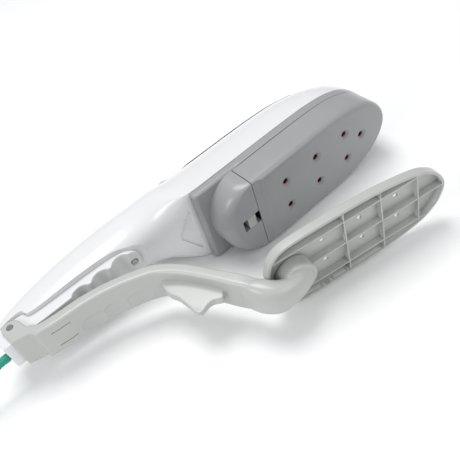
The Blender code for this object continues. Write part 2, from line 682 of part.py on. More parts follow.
def make_pump():
    """A plunger pump under the steam button, with its spring and hoses."""
    x = BUTTON_X
    body = rods("pump_body", [((x, 50, 0), (x, 72, 0), 7.5)], HOSE, sides=20)
    boolean(body, rods("pump_bore", [((x, 54, 0), (x, 80, 0), 4.6)], cutter=True, sides=18))
    rods("pump_plunger", [((x, 58, 0), (x, 83.7, 0), 3.6)], BLACK, BUTTON_GUIDE, sides=18)
    turns = 5
    steps = turns * 10
    helix = [
        (
            x + 5.6 * math.cos(2 * math.pi * k / 10),
            73.0 + 10.6 * k / steps,
            5.6 * math.sin(2 * math.pi * k / 10),
        )
        for k in range(steps + 1)
    ]
    tube("button_spring", helix, 0.4, STEEL, resolution=1)
    suction = [(-36, 49.2, 0), (-36, 44, 0), (-42, 40, 0), (x + 8, 40, 0), (x + 2.0, 44, 0), (x, 49.6, 0)]
    suction = smooth_route(suction, 16)
    tube("suction_hose", suction, 1.6, HOSE, resolution=1)
    feed = [(x + 8.4, 53, 3), (x + 10.0, 50, 4.5), (x + 11, 45, 7), (x + 17, 39, 9)]
    feed += [(-32, 33, 8), (-12, 28, 3), (-8, 21.8, 0)]
    tube("feed_hose", smooth_route(feed, 18), 1.6, HOSE, resolution=1)


def make_button():
    """A milky domed button that stands proud of the neck."""
    profile = ((-1.2, 8.2), (9.0, 8.2), (12.2, 7.0), (14.0, 4.6), (14.7, 2.0))
    button = turned("steam_button", profile, (BUTTON_X, 85.2, 0), (0, 1, 0), MILKY, BUTTON_GUIDE)
    return button


# ---------------------------------------------------------------- press arm and plate

# Underside of the arm, from the clip to the elbow
ARM_UNDER = (
    (-238.0, 44.3),
    (-223.5, 40.3),
    (-221.0, 36.2),
    (-205.0, 33.0),
    (-178.0, 30.0),
    (-157.0, 24.5),
    (-139.0, 17.0),
    (-127.0, 9.5),
    (-115.0, -5.0),
    (-104.0, -25.5),
    (-96.0, -43.0),
    (-90.0, -55.0),
    (-82.0, -64.0),
    (-72.0, -68.0),
)
ARM_THICK = 9.0


def arm_side(points, thick):
    """The arm's side outline: its underside, and the same line moved up by its thickness."""
    under = [Vector(p) for p in smooth_pairs(points, 40)]
    upper = []
    for before, after, here in zip([under[0]] + under[:-1], under[1:] + under[-1:], under):
        along = (after - before).normalized()
        upper.append(here + Vector((-along.y, along.x)) * thick)
    return [tuple(p) for p in under], [tuple(p) for p in upper]


def smooth_pairs(points, count):
    return [(x, y) for x, y, _ in smooth_route([(x, y, 0.0) for x, y in points], count)]


def plate_point(s, depth):
    """A point of the press plate: s along it from its origin, depth from the ribbed face."""
    c, d = math.cos(PRESS_ANGLE), math.sin(PRESS_ANGLE)
    return PRESS_ORIGIN[0] + c * s - d * depth, PRESS_ORIGIN[1] + d * s + c * depth


def make_press_arm():
    under, upper = arm_side(ARM_UNDER, ARM_THICK)
    arm = extrude_side("press_arm", under + upper[::-1], -ARM_HALF, ARM_HALF, PALE_GREY, PRESS_PIVOT)
    arm.modifiers.new("round", "BEVEL")
    arm.modifiers["round"].width = 3.0 * MM
    arm.modifiers["round"].segments = 2
    arm.modifiers["round"].limit_method = "ANGLE"
    arm.modifiers["round"].angle_limit = math.radians(50)
    ears = [(-237.6, 45.6), (-222.5, 42.0), (-223.0, 54.0), (-225.5, 62.0), (-232.0, 65.0), (-238.5, 62.0)]
    for name, low, high in (("ear_right", 13.2, ARM_HALF), ("ear_left", -ARM_HALF, -13.2)):
        boolean(arm, extrude_side(name, ears, low, high, None, PRESS_PIVOT, True), "UNION")
    floor = [(x, y) for x, y in arm_side(ARM_UNDER, ARM_WALL)[1] if x < -131.0]
    channel = [(-250.0, floor[0][1])] + floor + [(-131.0, 70.0), (-250.0, 70.0)]
    boolean(arm, extrude_side("arm_channel", channel, -13.2, 13.2, None, PRESS_PIVOT, True))
    for side in (-8.0, 8.0):
        slit = rounded_box_outline((-212.0, side - 0.4), (-196.0, side + 0.4), 0.35, 2)
        boolean(arm, extrude_plan("tongue_slit", slit, 20.0, 48.0, None, PRESS_PIVOT, True))
    spur = [(-127.0, 14.0), (-129.0, -1.0), (-126.0, -12.0), (-125.5, -24.0), (-125.5, -32.0), (-123.5, -35.0)]
    spur += [(-120.5, -35.0), (-116.0, -33.5), (-110.0, -34.0), (-104.0, -38.0), (-101.0, -30.0)]
    spur.append((-113.0, -4.0))
    boolean(arm, extrude_side("thumb_spur", spur, -4.5, 4.5, None, PRESS_PIVOT, True), "UNION")
    elbow = loft("elbow", [neck_ring(*station) for station in NECK], None, PRESS_PIVOT, True)
    boolean(arm, elbow, "UNION")
    boolean(arm, plate_prism("plate_clearance", plate_outline(-0.5), -0.5, 12.0, cutter=True))
    disc = [((*plate_point(-46, -7), 0), (*plate_point(-46, 5.4), 0), 14.8)]
    boss = rods("neck_boss", disc, None, PRESS_PIVOT, True, 28)
    boolean(arm, boss, "UNION")
    pin_bore = rods("arm_pin_bore", [((*PIVOT, -20), (*PIVOT, 20), 2.8)], None, PRESS_PIVOT, True)
    boolean(arm, pin_bore)
    rods("arm_pivot_pin", [((*PIVOT, -ARM_HALF), (*PIVOT, ARM_HALF), 2.5)], STEEL, PRESS_PIVOT, sides=18)
    return arm


# Middle line of the neck between the arm and the plate: x, y, slope in degrees, half-thickness, half-width
NECK = (
    (-91.0, -47.0, -62.0, 3.6, 14.0),
    (-87.5, -54.0, -62.0, 6.5, 15.4),
    (-83.0, -61.0, -52.0, 8.8, 15.0),
    (-77.0, -66.5, -30.0, 9.6, 14.0),
    (-69.5, -69.3, -8.0, 8.6, 12.4),
    (-62.0, -70.0, 0.0, 7.6, 11.2),
    (-54.0, -69.6, 4.0, 6.6, 10.4),
    (-47.0, -69.0, 4.0, 5.0, 8.4),
)


def neck_ring(x, y, slope, thick, wide, points=24):
    """An oval section across the neck."""
    lean = math.radians(slope)
    ring = []
    for k in range(points):
        angle = 2 * math.pi * k / points
        up = thick * math.sin(angle)
        ring.append((x - up * math.sin(lean), y + up * math.cos(lean), wide * math.cos(angle)))
    return ring


PLATE_SIDE = (
    (-68.0, 16.0),
    (-62.0, 25.5),
    (-47.0, 33.2),
    (-2.0, 34.0),
    (32.0, 32.4),
    (64.0, 27.2),
    (78.0, 20.6),
    (86.0, 12.6),
    (90.6, 0.0),
)


def plate_outline(inset=0.0, steps=12):
    """The press plate's outline in s and z."""
    half = []
    for k in range(steps + 1):
        s = 90.6 - (90.6 + 68.0) * (1 - math.cos(math.pi * k / steps)) / 2
        half.append((s, interpolate(PLATE_SIDE, s, 1)))
    outline = [(90.6, 0.0)] + half[1:] + [(s, -z) for s, z in reversed(half[1:])]
    return offset_outline(outline, inset)


def plate_prism(name, outline, near, far, skin=None, cutter=False):
    """An outline in s and z, raised through the plate's depth."""
    rings = [[(*plate_point(s, depth), z) for s, z in outline] for depth in (near, far)]
    return loft(name, rings, skin, PRESS_PIVOT, cutter)


def make_press_plate():
    """A ribbed plate: a thin pressing wall, a raised rim and a grid of ribs."""
    plate = plate_prism("press_plate", plate_outline(), 0.0, PRESS_DEPTH, PALE_GREY)
    hollow = plate_prism("plate_hollow", plate_outline(2.2), -4.0, PRESS_DEPTH - 2.0, cutter=True)
    ribs = [(-61.0, 90.0, z - 0.7, z + 0.7) for z in (-22.5, 0.0, 22.5)]
    ribs += [(s - 0.7, s + 0.7, -40.0, 40.0) for s in (0.0, 32.7, 65.9)]
    for k, (low, high, near, far) in enumerate(ribs):
        outline = [(low, near), (high, near), (high, far), (low, far)]
        rib = plate_prism(f"rib_{k}", outline, 0.6, 9.0, cutter=True)
        boolean(hollow, rib, solver="MANIFOLD")
    boolean(plate, hollow, solver="MANIFOLD")
    holes = [(s, z) for s in (-17.0, 16.0, 49.0) for z in (-11.0, 11.0)]
    pieces = [((*plate_point(s, -2.0), z), (*plate_point(s, 12.0), z), 2.2) for s, z in holes]
    boolean(plate, rods("plate_holes", pieces, None, PRESS_PIVOT, True, 14))
    disc = [((*plate_point(-46.0, -12.0), 0.0), (*plate_point(-46.0, 5.7), 0.0), 15.2)]
    seat = rods("neck_seat", disc, None, PRESS_PIVOT, True, 28)
    boolean(plate, seat)
    return plate


# ---------------------------------------------------------------- cord


def ring_about(middle, along, radius, sides):
    """A circle of points round a path."""
    turn = Vector((-1, 0, 0)).rotation_difference(along)
    angles = [2 * math.pi * k / sides for k in range(sides)]
    return [middle + turn @ Vector((0.0, radius * math.cos(a), radius * math.sin(a))) for a in angles]


def make_cord():
    """The lead: out of the tail through its strain relief, down to the floor and up to its stored coil."""
    stations = ((-3.4, 2.8), (0.4, 2.8), (0.4, 3.6), (5.0, 3.5))
    stations += ((10.0, 3.35), (15.0, 3.2), (20.0, 3.0), (25.0, 2.8), (28.0, 2.65))
    rings = []
    for walked, radius in stations:
        bend = max(walked - 3.0, 0.0)
        middle = Vector(CORD_EXIT) + Vector((-walked, -0.0024 * bend**2, -0.0094 * bend**2))
        along = Vector((-1.0, -0.0048 * bend, -0.0188 * bend)).normalized()
        rings.append(ring_about(middle, along, radius, 18))
    loft("strain_relief", rings, TEAL)
    floor = FLOOR_Z + CORD_RADIUS + 0.25
    start = middle + along * GAP
    route = [start, start + along * 8.0, (-290.5, 45.6, -19.0), (-297.8, 42.6, -27.5)]
    route += [(-305.5, 39.8, floor + 1.3), (-315.2, 38.3, floor)]
    tube("power_cord", smooth_route(route, 22), CORD_RADIUS, TEAL, resolution=2)
    tail = [(-374.0, 96.8, floor + 1.4), (-373.6, 107.0, floor), (-368.0, 120.5, floor + 0.4)]
    tail += [(-359.5, 128.0, floor + 2.0), (PLUG_X - 8.0, PLUG_Y - 0.5, floor + 3.8)]
    tail += [(PLUG_X - 0.6, PLUG_Y, floor + 4.45)]
    tube("plug_cord", smooth_route(tail, 20), CORD_RADIUS, TEAL, resolution=2)


def make_coil():
    """The stored turns as one soft-edged ring that lies on the floor."""
    low, high = (-COIL_WIDTH / 2, 0.1), (COIL_WIDTH / 2, 0.1 + COIL_HEIGHT)
    section = rounded_box_outline(low, high, 3.0, 2)
    shape = bmesh.new()
    rows = []
    for k in range(36):
        turn = Matrix.Rotation(2 * math.pi * k / 36, 3, "Z")
        middle = Vector((*COIL_CENTRE, FLOOR_Z))
        rows.append([shape.verts.new(middle + turn @ Vector((COIL_RADIUS + r, 0.0, h))) for r, h in section])
    count = len(section)
    for near, far in zip(rows, rows[1:] + rows[:1]):
        for i in range(count):
            j = (i + 1) % count
            shape.faces.new((near[i], far[i], far[j], near[j]))
    from_bmesh("cord_coil", shape, TEAL)


def make_plug():
    """A flat two-pin plug lying beside the coil."""
    z = FLOOR_Z + 7.2
    front = PLUG_X + 50.0
    low, high = (front - 34.0, PLUG_Y - 13.0, z - 6.9), (front, PLUG_Y + 13.0, z + 6.9)
    body = box("plug_body", low, high, BLACK, bevel=3.0)
    taper = [((PLUG_X, PLUG_Y, z), (front - 32.0, PLUG_Y, z), 3.2, 5.2)]
    relief = rods("plug_relief", taper, cutter=True, sides=16)
    boolean(body, relief, "UNION")
    for k, side in enumerate((-9.3, 9.3), 1):
        pin = [((front + GAP, PLUG_Y + side, z), (front + 19.0, PLUG_Y + side, z), 2.0)]
        rods(f"plug_pin_{k}", pin, BRASS, sides=12)


make_body_shell()
make_grip_cover()
make_head_frame()
make_sole_cover()
make_latch()
make_boiler()
make_electrics()
make_tank()
make_pump()
make_button()
make_press_arm()
make_press_plate()
make_cord()
make_coil()
make_plug()
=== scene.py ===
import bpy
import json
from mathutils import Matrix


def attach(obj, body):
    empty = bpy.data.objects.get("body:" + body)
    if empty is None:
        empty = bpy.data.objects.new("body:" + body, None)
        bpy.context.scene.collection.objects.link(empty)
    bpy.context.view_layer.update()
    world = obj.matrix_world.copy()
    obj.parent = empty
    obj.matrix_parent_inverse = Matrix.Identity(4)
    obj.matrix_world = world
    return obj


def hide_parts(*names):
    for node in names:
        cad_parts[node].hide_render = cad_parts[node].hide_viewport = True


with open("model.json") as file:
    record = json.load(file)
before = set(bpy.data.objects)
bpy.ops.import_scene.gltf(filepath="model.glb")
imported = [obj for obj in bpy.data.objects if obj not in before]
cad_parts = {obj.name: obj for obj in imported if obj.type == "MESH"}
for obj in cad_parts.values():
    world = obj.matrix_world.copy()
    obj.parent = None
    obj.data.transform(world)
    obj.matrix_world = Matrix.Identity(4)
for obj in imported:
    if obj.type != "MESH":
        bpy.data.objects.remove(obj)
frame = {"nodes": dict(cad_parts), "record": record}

"""The look of the handheld steamer: its fine shells, plastics, lead, light and camera.

Shapes are drawn in the model frame, in millimetres: X from the tail to the nose, Y from the steam face
(y = 0) to the back of the head, and Z across the body. ORIGIN and MM turn them into the row frame.
"""

import json
import math

import bmesh
import bpy
import numpy as np
from mathutils import Matrix, Vector

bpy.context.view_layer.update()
MM = 0.001
ORIGIN = Vector((64.7, -5.1, 37.5))  # the model frame's origin in the row frame
FLOOR_Z = -37.5
GAP = 0.3

TAIL_X, COVER_REAR_X, FRAME_REAR_X = -247.0, -30.5, -69.0
RIM_Y, PART_Y = 32.5, 25.5
PIVOT = (-232.0, 58.5)
KEEL_HALF = 12.6
BUTTON_X = -62.0
PRESS_ANGLE = math.radians(-11.31)
PRESS_ORIGIN = (-9.2, -71.85)
GRIP_SCREW_XS = (-128.0, -204.0)
FRAME_SCREW_X, FRAME_SCREW_ZS = -41.6, (-26.6, 26.6)
CAP_X = 38
CORD_RADIUS = 2.5
CORD_EXIT = (-245.5, 50.8, 0.0)
COIL_CENTRE = (-336.0, 76.0)
COIL_RADIUS = 30.0
PLUG_X, PLUG_Y = -347.0, 131.5


def row_point(point):
    """A point of the model frame, in the row frame's metres."""
    return (Vector(point) + ORIGIN) * MM


# ---------------------------------------------------------------- camera, floor and light


def add_camera():
    data = bpy.data.cameras.new("camera")
    data.lens, data.sensor_width = 50.0, 36.0
    camera = bpy.data.objects.new("camera", data)
    right, up = (0.74031, -0.63010, -0.23434), (0.60281, 0.46789, 0.64630)
    back = (-0.29758, -0.61973, 0.72621)
    turn = Matrix((right, up, back)).transposed().to_4x4()
    camera.matrix_world = Matrix.Translation(row_point((-208.3, -305.1, 369.3))) @ turn
    bpy.context.scene.collection.objects.link(camera)
    bpy.context.scene.camera = camera


add_camera()


# ---------------------------------------------------------------- materials


def node(tree, kind, **inputs):
    made = tree.nodes.new(kind)
    for name, value in inputs.items():
        made.inputs[name.replace("_", " ")].default_value = value
    return made


def plastic(name, colour, roughness=0.35, grain=900.0, bump=0.04, mottle=0.04, coat=0.0, metallic=0.0,
            gloss_spread=0.1):
    """Moulded plastic or metal: faint cloudiness, a fine moulded grain and uneven gloss."""
    made = bpy.data.materials.new(name)
    made.use_nodes = True
    tree = made.node_tree
    link = tree.links.new
    shader = tree.nodes["Principled BSDF"]
    shader.inputs["Metallic"].default_value = metallic
    shader.inputs["Coat Weight"].default_value = coat
    shader.inputs["Coat Roughness"].default_value = 0.12
    place = tree.nodes.new("ShaderNodeTexCoord").outputs["Object"]
    cloud = node(tree, "ShaderNodeTexNoise", Scale=38.0, Detail=3.0, Roughness=0.55)
    fine = node(tree, "ShaderNodeTexNoise", Scale=grain, Detail=2.0, Roughness=0.6)
    link(place, cloud.inputs["Vector"])
    link(place, fine.inputs["Vector"])
    ramp = tree.nodes.new("ShaderNodeValToRGB")
    low, high = ([c * (1 + k * mottle) for c in colour] for k in (-1, 1))
    ramp.color_ramp.elements[0].color = (*low, 1.0)
    ramp.color_ramp.elements[1].color = (*high, 1.0)
    ramp.color_ramp.elements[0].position, ramp.color_ramp.elements[1].position = 0.3, 0.7
    link(cloud.outputs["Fac"], ramp.inputs["Fac"])
    link(ramp.outputs["Color"], shader.inputs["Base Color"])
    gloss = tree.nodes.new("ShaderNodeMapRange")
    gloss.inputs["To Min"].default_value = roughness * (1 - gloss_spread)
    gloss.inputs["To Max"].default_value = roughness * (1 + gloss_spread)
    link(fine.outputs["Fac"], gloss.inputs["Value"])
    link(gloss.outputs["Result"], shader.inputs["Roughness"])
    relief = node(tree, "ShaderNodeBump", Strength=bump, Distance=0.0004)
    link(fine.outputs["Fac"], relief.inputs["Height"])
    link(relief.outputs["Normal"], shader.inputs["Normal"])
    return made


def clear_plastic(name, colour, through, roughness=0.08):
    made = plastic(name, colour, roughness, bump=0.01)
    made.node_tree.nodes["Principled BSDF"].inputs["Transmission Weight"].default_value = through
    made.node_tree.nodes["Principled BSDF"].inputs["IOR"].default_value = 1.45
    return made


WHITE = plastic("white_gloss", (0.77, 0.77, 0.775), 0.26, mottle=0.004, bump=0.001, coat=0.3,
                gloss_spread=0.03)
GREY = plastic("head_grey", (0.325, 0.332, 0.337), 0.3, mottle=0.012, bump=0.002, coat=0.15,
               gloss_spread=0.03)
PALE = plastic("pale_grey", (0.49, 0.498, 0.48), 0.3, mottle=0.006, bump=0.0, coat=0.15, gloss_spread=0.02)
TEAL_CLEAR = clear_plastic("teal_clear", (0.02, 0.3, 0.32), 0.85)
TEAL = plastic("cord_teal", (0.012, 0.30, 0.2), 0.42, mottle=0.05)
CAP_TEAL = plastic("cap_teal", (0.012, 0.28, 0.2), 0.3)
MILKY = clear_plastic("milky_white", (0.55, 0.7, 0.74), 0.25, 0.2)
ALUMINIUM = plastic("cast_aluminium", (0.55, 0.55, 0.56), 0.48, 500.0, 0.25, 0.06, metallic=1.0)
STEEL = plastic("bright_steel", (0.36, 0.36, 0.37), 0.28, 700.0, 0.08, metallic=1.0)
BRASS = plastic("brass", (0.68, 0.5, 0.22), 0.3, 600.0, 0.06, metallic=1.0)
RED = plastic("red_silicone", (0.2, 0.008, 0.007), 0.55, mottle=0.08)
BLACK = plastic("black_plastic", (0.022, 0.022, 0.024), 0.42, bump=0.08)
HOSE = clear_plastic("clear_hose", (0.75, 0.75, 0.72), 0.6, 0.2)


# ---------------------------------------------------------------- shape helpers


def from_bmesh(name, shape, skin=None, angle=32.0):
    """A new object in the row frame from a bmesh in the model frame."""
    bmesh.ops.recalc_face_normals(shape, faces=shape.faces)
    bmesh.ops.translate(shape, vec=ORIGIN, verts=shape.verts)
    bmesh.ops.scale(shape, vec=(MM, MM, MM), verts=shape.verts)
    mesh = bpy.data.meshes.new(name)
    shape.to_mesh(mesh)
    shape.free()
    return from_mesh(name, mesh, skin, angle)


def from_mesh(name, mesh, skin, angle=32.0):
    obj = bpy.data.objects.new(name, mesh)
    bpy.context.scene.collection.objects.link(obj)
    if skin:
        mesh.materials.clear()
        mesh.materials.append(skin)
        mesh.shade_smooth()
        mesh.set_sharp_from_angle(angle=math.radians(angle))
    return obj


def add_rod(shape, start, end, radius, end_radius=None, sides=40):
    start = Vector(start)
    along = Vector(end) - start
    turn = Vector((0, 0, 1)).rotation_difference(along).to_matrix().to_4x4()
    far = radius if end_radius is None else end_radius
    bmesh.ops.create_cone(shape, cap_ends=True, segments=sides, radius1=radius, radius2=far,
                          depth=along.length, matrix=Matrix.Translation(start + along / 2) @ turn)


def box(name, low, high, skin=None):
    shape = bmesh.new()
    size = [b - a for a, b in zip(low, high)]
    middle = [(a + b) / 2 for a, b in zip(low, high)]
    bmesh.ops.create_cube(shape, size=1.0, matrix=Matrix.Translation(middle) @ Matrix.Diagonal((*size, 1.0)))
    return from_bmesh(name, shape, skin)


def rods(name, pieces, skin=None, sides=40):
    shape = bmesh.new()
    for start, end, *radii in pieces:
        add_rod(shape, start, end, radii[0], radii[-1], sides)
    return from_bmesh(name, shape, skin)


def loft(name, rings, skin=None, angle=32.0):
    """A closed skin through rings of the same number of points, with flat ends."""
    shape = bmesh.new()
    rows = [[shape.verts.new(point) for point in ring] for ring in rings]
    count = len(rows[0])
    for near, far in zip(rows, rows[1:]):
        for i in range(count):
            j = (i + 1) % count
            shape.faces.new((near[i], near[j], far[j], far[i]))
    shape.faces.new(rows[0])
    shape.faces.new(rows[-1])
    return from_bmesh(name, shape, skin, angle)


def extrude_plan(name, outline, low, high, skin=None):
    return loft(name, [[(x, y, z) for x, z in outline] for y in (low, high)], skin)


def extrude_side(name, outline, low, high, skin=None):
    return loft(name, [[(x, y, z) for x, y in outline] for z in (low, high)], skin)


def turned(name, profile, centre, axis, skin, sides=64):
    turn = Vector((0, 0, 1)).rotation_difference(Vector(axis)).to_matrix().to_4x4()
    matrix = Matrix.Translation(centre) @ turn
    angles = [2 * math.pi * k / sides for k in range(sides)]
    rings = [[matrix @ Vector((r * math.cos(a), r * math.sin(a), h)) for a in angles] for h, r in profile]
    return loft(name, rings, skin)


def shape_with(obj, steps, skin=None, angle=32.0, bevel=0.0, spread=2):
    """Cut or join obj with other shapes in turn, apply the result and remove the other shapes."""
    for other, operation, solver in steps:
        step = obj.modifiers.new("shape", "BOOLEAN")
        step.object, step.operation, step.solver = other, operation, solver
    if bevel:
        soft = obj.modifiers.new("edges", "BEVEL")
        soft.width, soft.segments, soft.limit_method = bevel * MM, spread, "ANGLE"
        soft.angle_limit = math.radians(40)
    bpy.context.view_layer.update()
    mesh = bpy.data.meshes.new_from_object(obj.evaluated_get(bpy.context.evaluated_depsgraph_get()))
    name = obj.name
    skin = skin or obj.data.materials[0]
    for old in [obj] + [other for other, *_ in steps]:
        bpy.data.objects.remove(old, do_unlink=True)
    made = from_mesh(name, mesh, skin, angle)
    made.modifiers.new("even", "WEIGHTED_NORMAL").keep_sharp = True
    return made


def cut(*others, solver="MANIFOLD"):
    return [(other, "DIFFERENCE", solver) for other in others]


def joined(*others, solver="MANIFOLD"):
    return [(other, "UNION", solver) for other in others]


def smooth_route(points, count):
    """Points at even steps along a smooth curve through the given ones."""
    knots = np.array(points, float)
    padded = np.vstack([2 * knots[0] - knots[1], knots, 2 * knots[-1] - knots[-2]])
    fine = []
    for a, b, c, d in zip(padded, padded[1:], padded[2:], padded[3:]):
        for t in np.linspace(0, 1, 24, endpoint=False):
            square, cube = 2 * a - 5 * b + 4 * c - d, 3 * b - a - 3 * c + d
            fine.append(0.5 * (2 * b + (c - a) * t + square * t**2 + cube * t**3))
    fine.append(knots[-1])
    fine = np.array(fine)
    walked = np.concatenate([[0], np.cumsum(np.linalg.norm(np.diff(fine, axis=0), axis=1))])
    steps = np.linspace(0, walked[-1], count)
    return [tuple(np.interp(s, walked, fine[:, k]) for k in range(fine.shape[1])) for s in steps]


def interpolate(stations, x, column):
    """A smooth value between stations: cubic steps whose slopes never overshoot."""
    xs = np.array([row[0] for row in stations])
    ys = np.array([row[column] for row in stations])
    slopes = np.diff(ys) / np.diff(xs)
    ends = np.concatenate([[slopes[0]], slopes, [slopes[-1]]])
    same = ends[:-1] * ends[1:] > 0
    tangents = np.where(same, 2 * ends[:-1] * ends[1:] / np.where(same, ends[:-1] + ends[1:], 1), 0)
    k = int(np.clip(np.searchsorted(xs, x) - 1, 0, len(xs) - 2))
    width = xs[k + 1] - xs[k]
    t = (x - xs[k]) / width
    rise = (2 * t**3 - 3 * t**2 + 1) * ys[k] + (3 * t**2 - 2 * t**3) * ys[k + 1]
    lean = (t**3 - 2 * t**2 + t) * tangents[k] + (t**3 - t**2) * tangents[k + 1]
    return float(rise + width * lean)


# ---------------------------------------------------------------- lead


def ring_about(middle, along, radius, sides):
    turn = Vector((-1, 0, 0)).rotation_difference(along)
    angles = [2 * math.pi * k / sides for k in range(sides)]
    return [middle + turn @ Vector((0.0, radius * math.cos(a), radius * math.sin(a))) for a in angles]


def relief_line(walked):
    """Middle and direction of the strain relief at a distance from the tail."""
    bend = max(walked - 3.0, 0.0)
    middle = Vector(CORD_EXIT) + Vector((-walked, -0.0024 * bend**2, -0.0094 * bend**2))
    return middle, Vector((-1.0, -0.0048 * bend, -0.0188 * bend)).normalized()


RELIEF = ((0.0, 2.8), (0.4, 2.8), (0.45, 3.3), (0.9, 3.6), (5.0, 3.5), (10.0, 3.35), (15.0, 3.2), (20.0, 3.0),
          (25.0, 2.8), (28.0, 2.65))


def make_relief():
    """A tapered relief whose soft ribs run round it."""
    rings = []
    for walked in [-3.4, 0.0, 0.4] + list(np.linspace(0.45, 28.0, 110)):
        radius = 2.8 if walked < 0.4 else float(np.interp(walked, *zip(*RELIEF)))
        if 5.0 < walked < 25.0:
            radius -= 0.35 * max(0.0, math.sin(2 * math.pi * (walked - 5.0) / 3.3)) ** 2
        middle, along = relief_line(walked)
        rings.append(ring_about(middle, along, radius, 32))
    relief = loft("relief", rings, TEAL, 50.0)
    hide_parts("strain_relief")
    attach(relief, "steamer")
    return relief


def coil_route():
    """Two layers of four turns: inwards along the floor, then outwards on top."""
    floor = FLOOR_Z + CORD_RADIUS + 0.25
    pitch, rise = 5.3, 5.05
    spots = [(COIL_RADIUS + (1.5 - k) * pitch, 0.0) for k in range(4)]
    spots += [(COIL_RADIUS + (k - 1.5) * pitch, rise) for k in range(4)]
    points = []
    steps = 40
    for turn, (radius, height) in enumerate(spots):
        after = spots[turn + 1] if turn < 7 else (radius, height)
        for k in range(steps):
            share = min(max((k / steps - 0.84) / 0.16, 0.0), 1.0)
            share = share * share * (3 - 2 * share)
            r = radius + (after[0] - radius) * share
            angle = -math.pi / 2 - 2 * math.pi * k / steps
            z = floor + height + (after[1] - height) * share
            points.append((COIL_CENTRE[0] + r * math.cos(angle), COIL_CENTRE[1] + r * math.sin(angle), z))
    outer = spots[-1][0]
    for k in range(11):
        angle = -math.pi / 2 - 2 * math.pi * k / steps
        points.append((COIL_CENTRE[0] + outer * math.cos(angle), COIL_CENTRE[1] + outer * math.sin(angle),
                       floor + rise - 0.02 * k))
    return points, floor


def make_lead(relief):
    """The lead on one smooth curve: down from the tail, along the floor, round its coil and into its plug."""
    middle, along = relief_line(28.0)
    start = middle + along * GAP
    coil, floor = coil_route()
    route = [start, start + along * 8.0, (-290.5, 45.6, -19.0), (-297.8, 42.6, -27.5)]
    route += [(-305.5, 39.8, floor + 1.3), (-315.2, 38.3, floor), (-325.0, 38.06, floor)]
    tail = [coil[-1], (-374.1, 86.0, floor + 3.6), (-374.0, 96.8, floor + 1.4), (-373.6, 107.0, floor)]
    tail += [(-368.0, 120.5, floor + 0.4), (-359.5, 128.0, floor + 2.0)]
    tail += [(PLUG_X - 8.0, PLUG_Y - 0.5, floor + 3.8), (PLUG_X - 0.6, PLUG_Y, floor + 4.45)]
    points = smooth_route(route, 34) + coil[1:-1] + smooth_route(tail, 26)
    curve = bpy.data.curves.new("lead", "CURVE")
    curve.dimensions, curve.use_fill_caps = "3D", True
    curve.bevel_depth, curve.bevel_resolution = CORD_RADIUS * MM, 5
    spline = curve.splines.new("POLY")
    spline.points.add(len(points) - 1)
    for spot, point in zip(spline.points, points):
        spot.co = (*row_point(point), 1.0)
    spline.use_smooth = True
    curve.materials.append(TEAL)
    lead = bpy.data.objects.new("lead", curve)
    bpy.context.scene.collection.objects.link(lead)
    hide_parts("power_cord", "cord_coil", "plug_cord")
    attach(lead, "steamer")
    with_pieces = [relief] + [frame["nodes"][n] for n in ("plug_pin_1", "plug_pin_2")] + [make_plug()]


def make_plug():
    """A flat two-pin plug: a soft block with a ribbed grip and a tapered relief."""
    z, front = FLOOR_Z + 7.2, PLUG_X + 50.0
    sections = ((0, 3.1, 3.1), (4, 3.5, 3.4), (10, 4.4, 4.1), (15, 5.6, 4.9), (18, 8.6, 5.9), (21, 11.2, 6.5),
                (26, 12.6, 6.85), (34, 13.0, 6.9), (44, 13.0, 6.9), (48.8, 12.6, 6.5), (50, 11.6, 5.5))
    rings = []
    for x, wide, tall in sections:
        ring = []
        for k in range(48):
            a = 2 * math.pi * k / 48
            c, s = math.cos(a), math.sin(a)
            power = 1.0 if x < 16 else 0.5
            ring.append((PLUG_X + x, PLUG_Y + wide * math.copysign(abs(c) ** power, c),
                         z + tall * math.copysign(abs(s) ** power, s)))
        rings.append(ring)
    plug = loft("plug", rings, BLACK, 50.0)
    grooves = [((front - x, PLUG_Y - 9, z + side * 7.1), (front - x, PLUG_Y + 9, z + side * 7.1), 0.55)
               for x in (24, 21, 18) for side in (-1, 1)]
    grooves = [rods(f"groove_{k}", [groove], sides=12) for k, groove in enumerate(grooves)]
    plug = shape_with(plug, cut(*grooves), BLACK, 50.0)
    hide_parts("plug_body")
    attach(plug, "steamer")
    return plug


make_lead(make_relief())


# ---------------------------------------------------------------- outlines and sections

BODY_STATIONS = (
    (-247.0, 51.0, 74.0, 9.0, 63.0),
    (-241.0, 48.6, 78.0, 12.5, 63.5),
    (-225.0, 48.0, 83.0, 15.5, 66.0),
    (-200.0, 47.6, 88.5, 18.0, 69.0),
    (-172.0, 47.0, 91.8, 19.5, 72.0),
    (-150.0, 46.6, 93.0, 20.0, 74.0),
    (-130.0, 46.6, 94.0, 20.5, 73.0),
    (-114.0, 44.8, 93.0, 22.8, 69.0),
    (-100.0, 40.6, 91.0, 26.5, 62.0),
    (-85.0, 34.8, 87.5, 34.0, 49.0),
    (-72.0, 32.5, 85.3, 37.3, 36.0),
    (-60.0, 32.5, 84.9, 37.3, 33.5),
    (-30.0, 32.5, 84.5, 37.3, 33.5),
    (10.0, 32.5, 84.0, 37.3, 33.5),
    (45.0, 32.5, 82.0, 36.9, 33.5),
    (70.0, 32.5, 76.5, 34.9, 33.5),
    (90.0, 32.5, 68.5, 29.9, 33.5),
    (104.0, 32.5, 59.0, 22.0, 33.5),
    (112.0, 32.5, 49.5, 13.6, 33.5),
    (116.5, 32.5, 41.0, 4.0, 33.5),
)
PLAN_SIDE = (
    (-60.0, 36.6),
    (-30.5, 36.6),
    (10.0, 36.8),
    (45.0, 36.6),
    (66.0, 35.4),
    (84.0, 32.0),
    (98.0, 26.2),
    (108.0, 18.6),
    (114.5, 9.4),
    (116.6, 0.0),
)
STEAM_HOLES = tuple((x, z) for x in (0.0, 34.0, 67.5) for z in (13.3, -13.3)) + ((86.0, 0.0),)
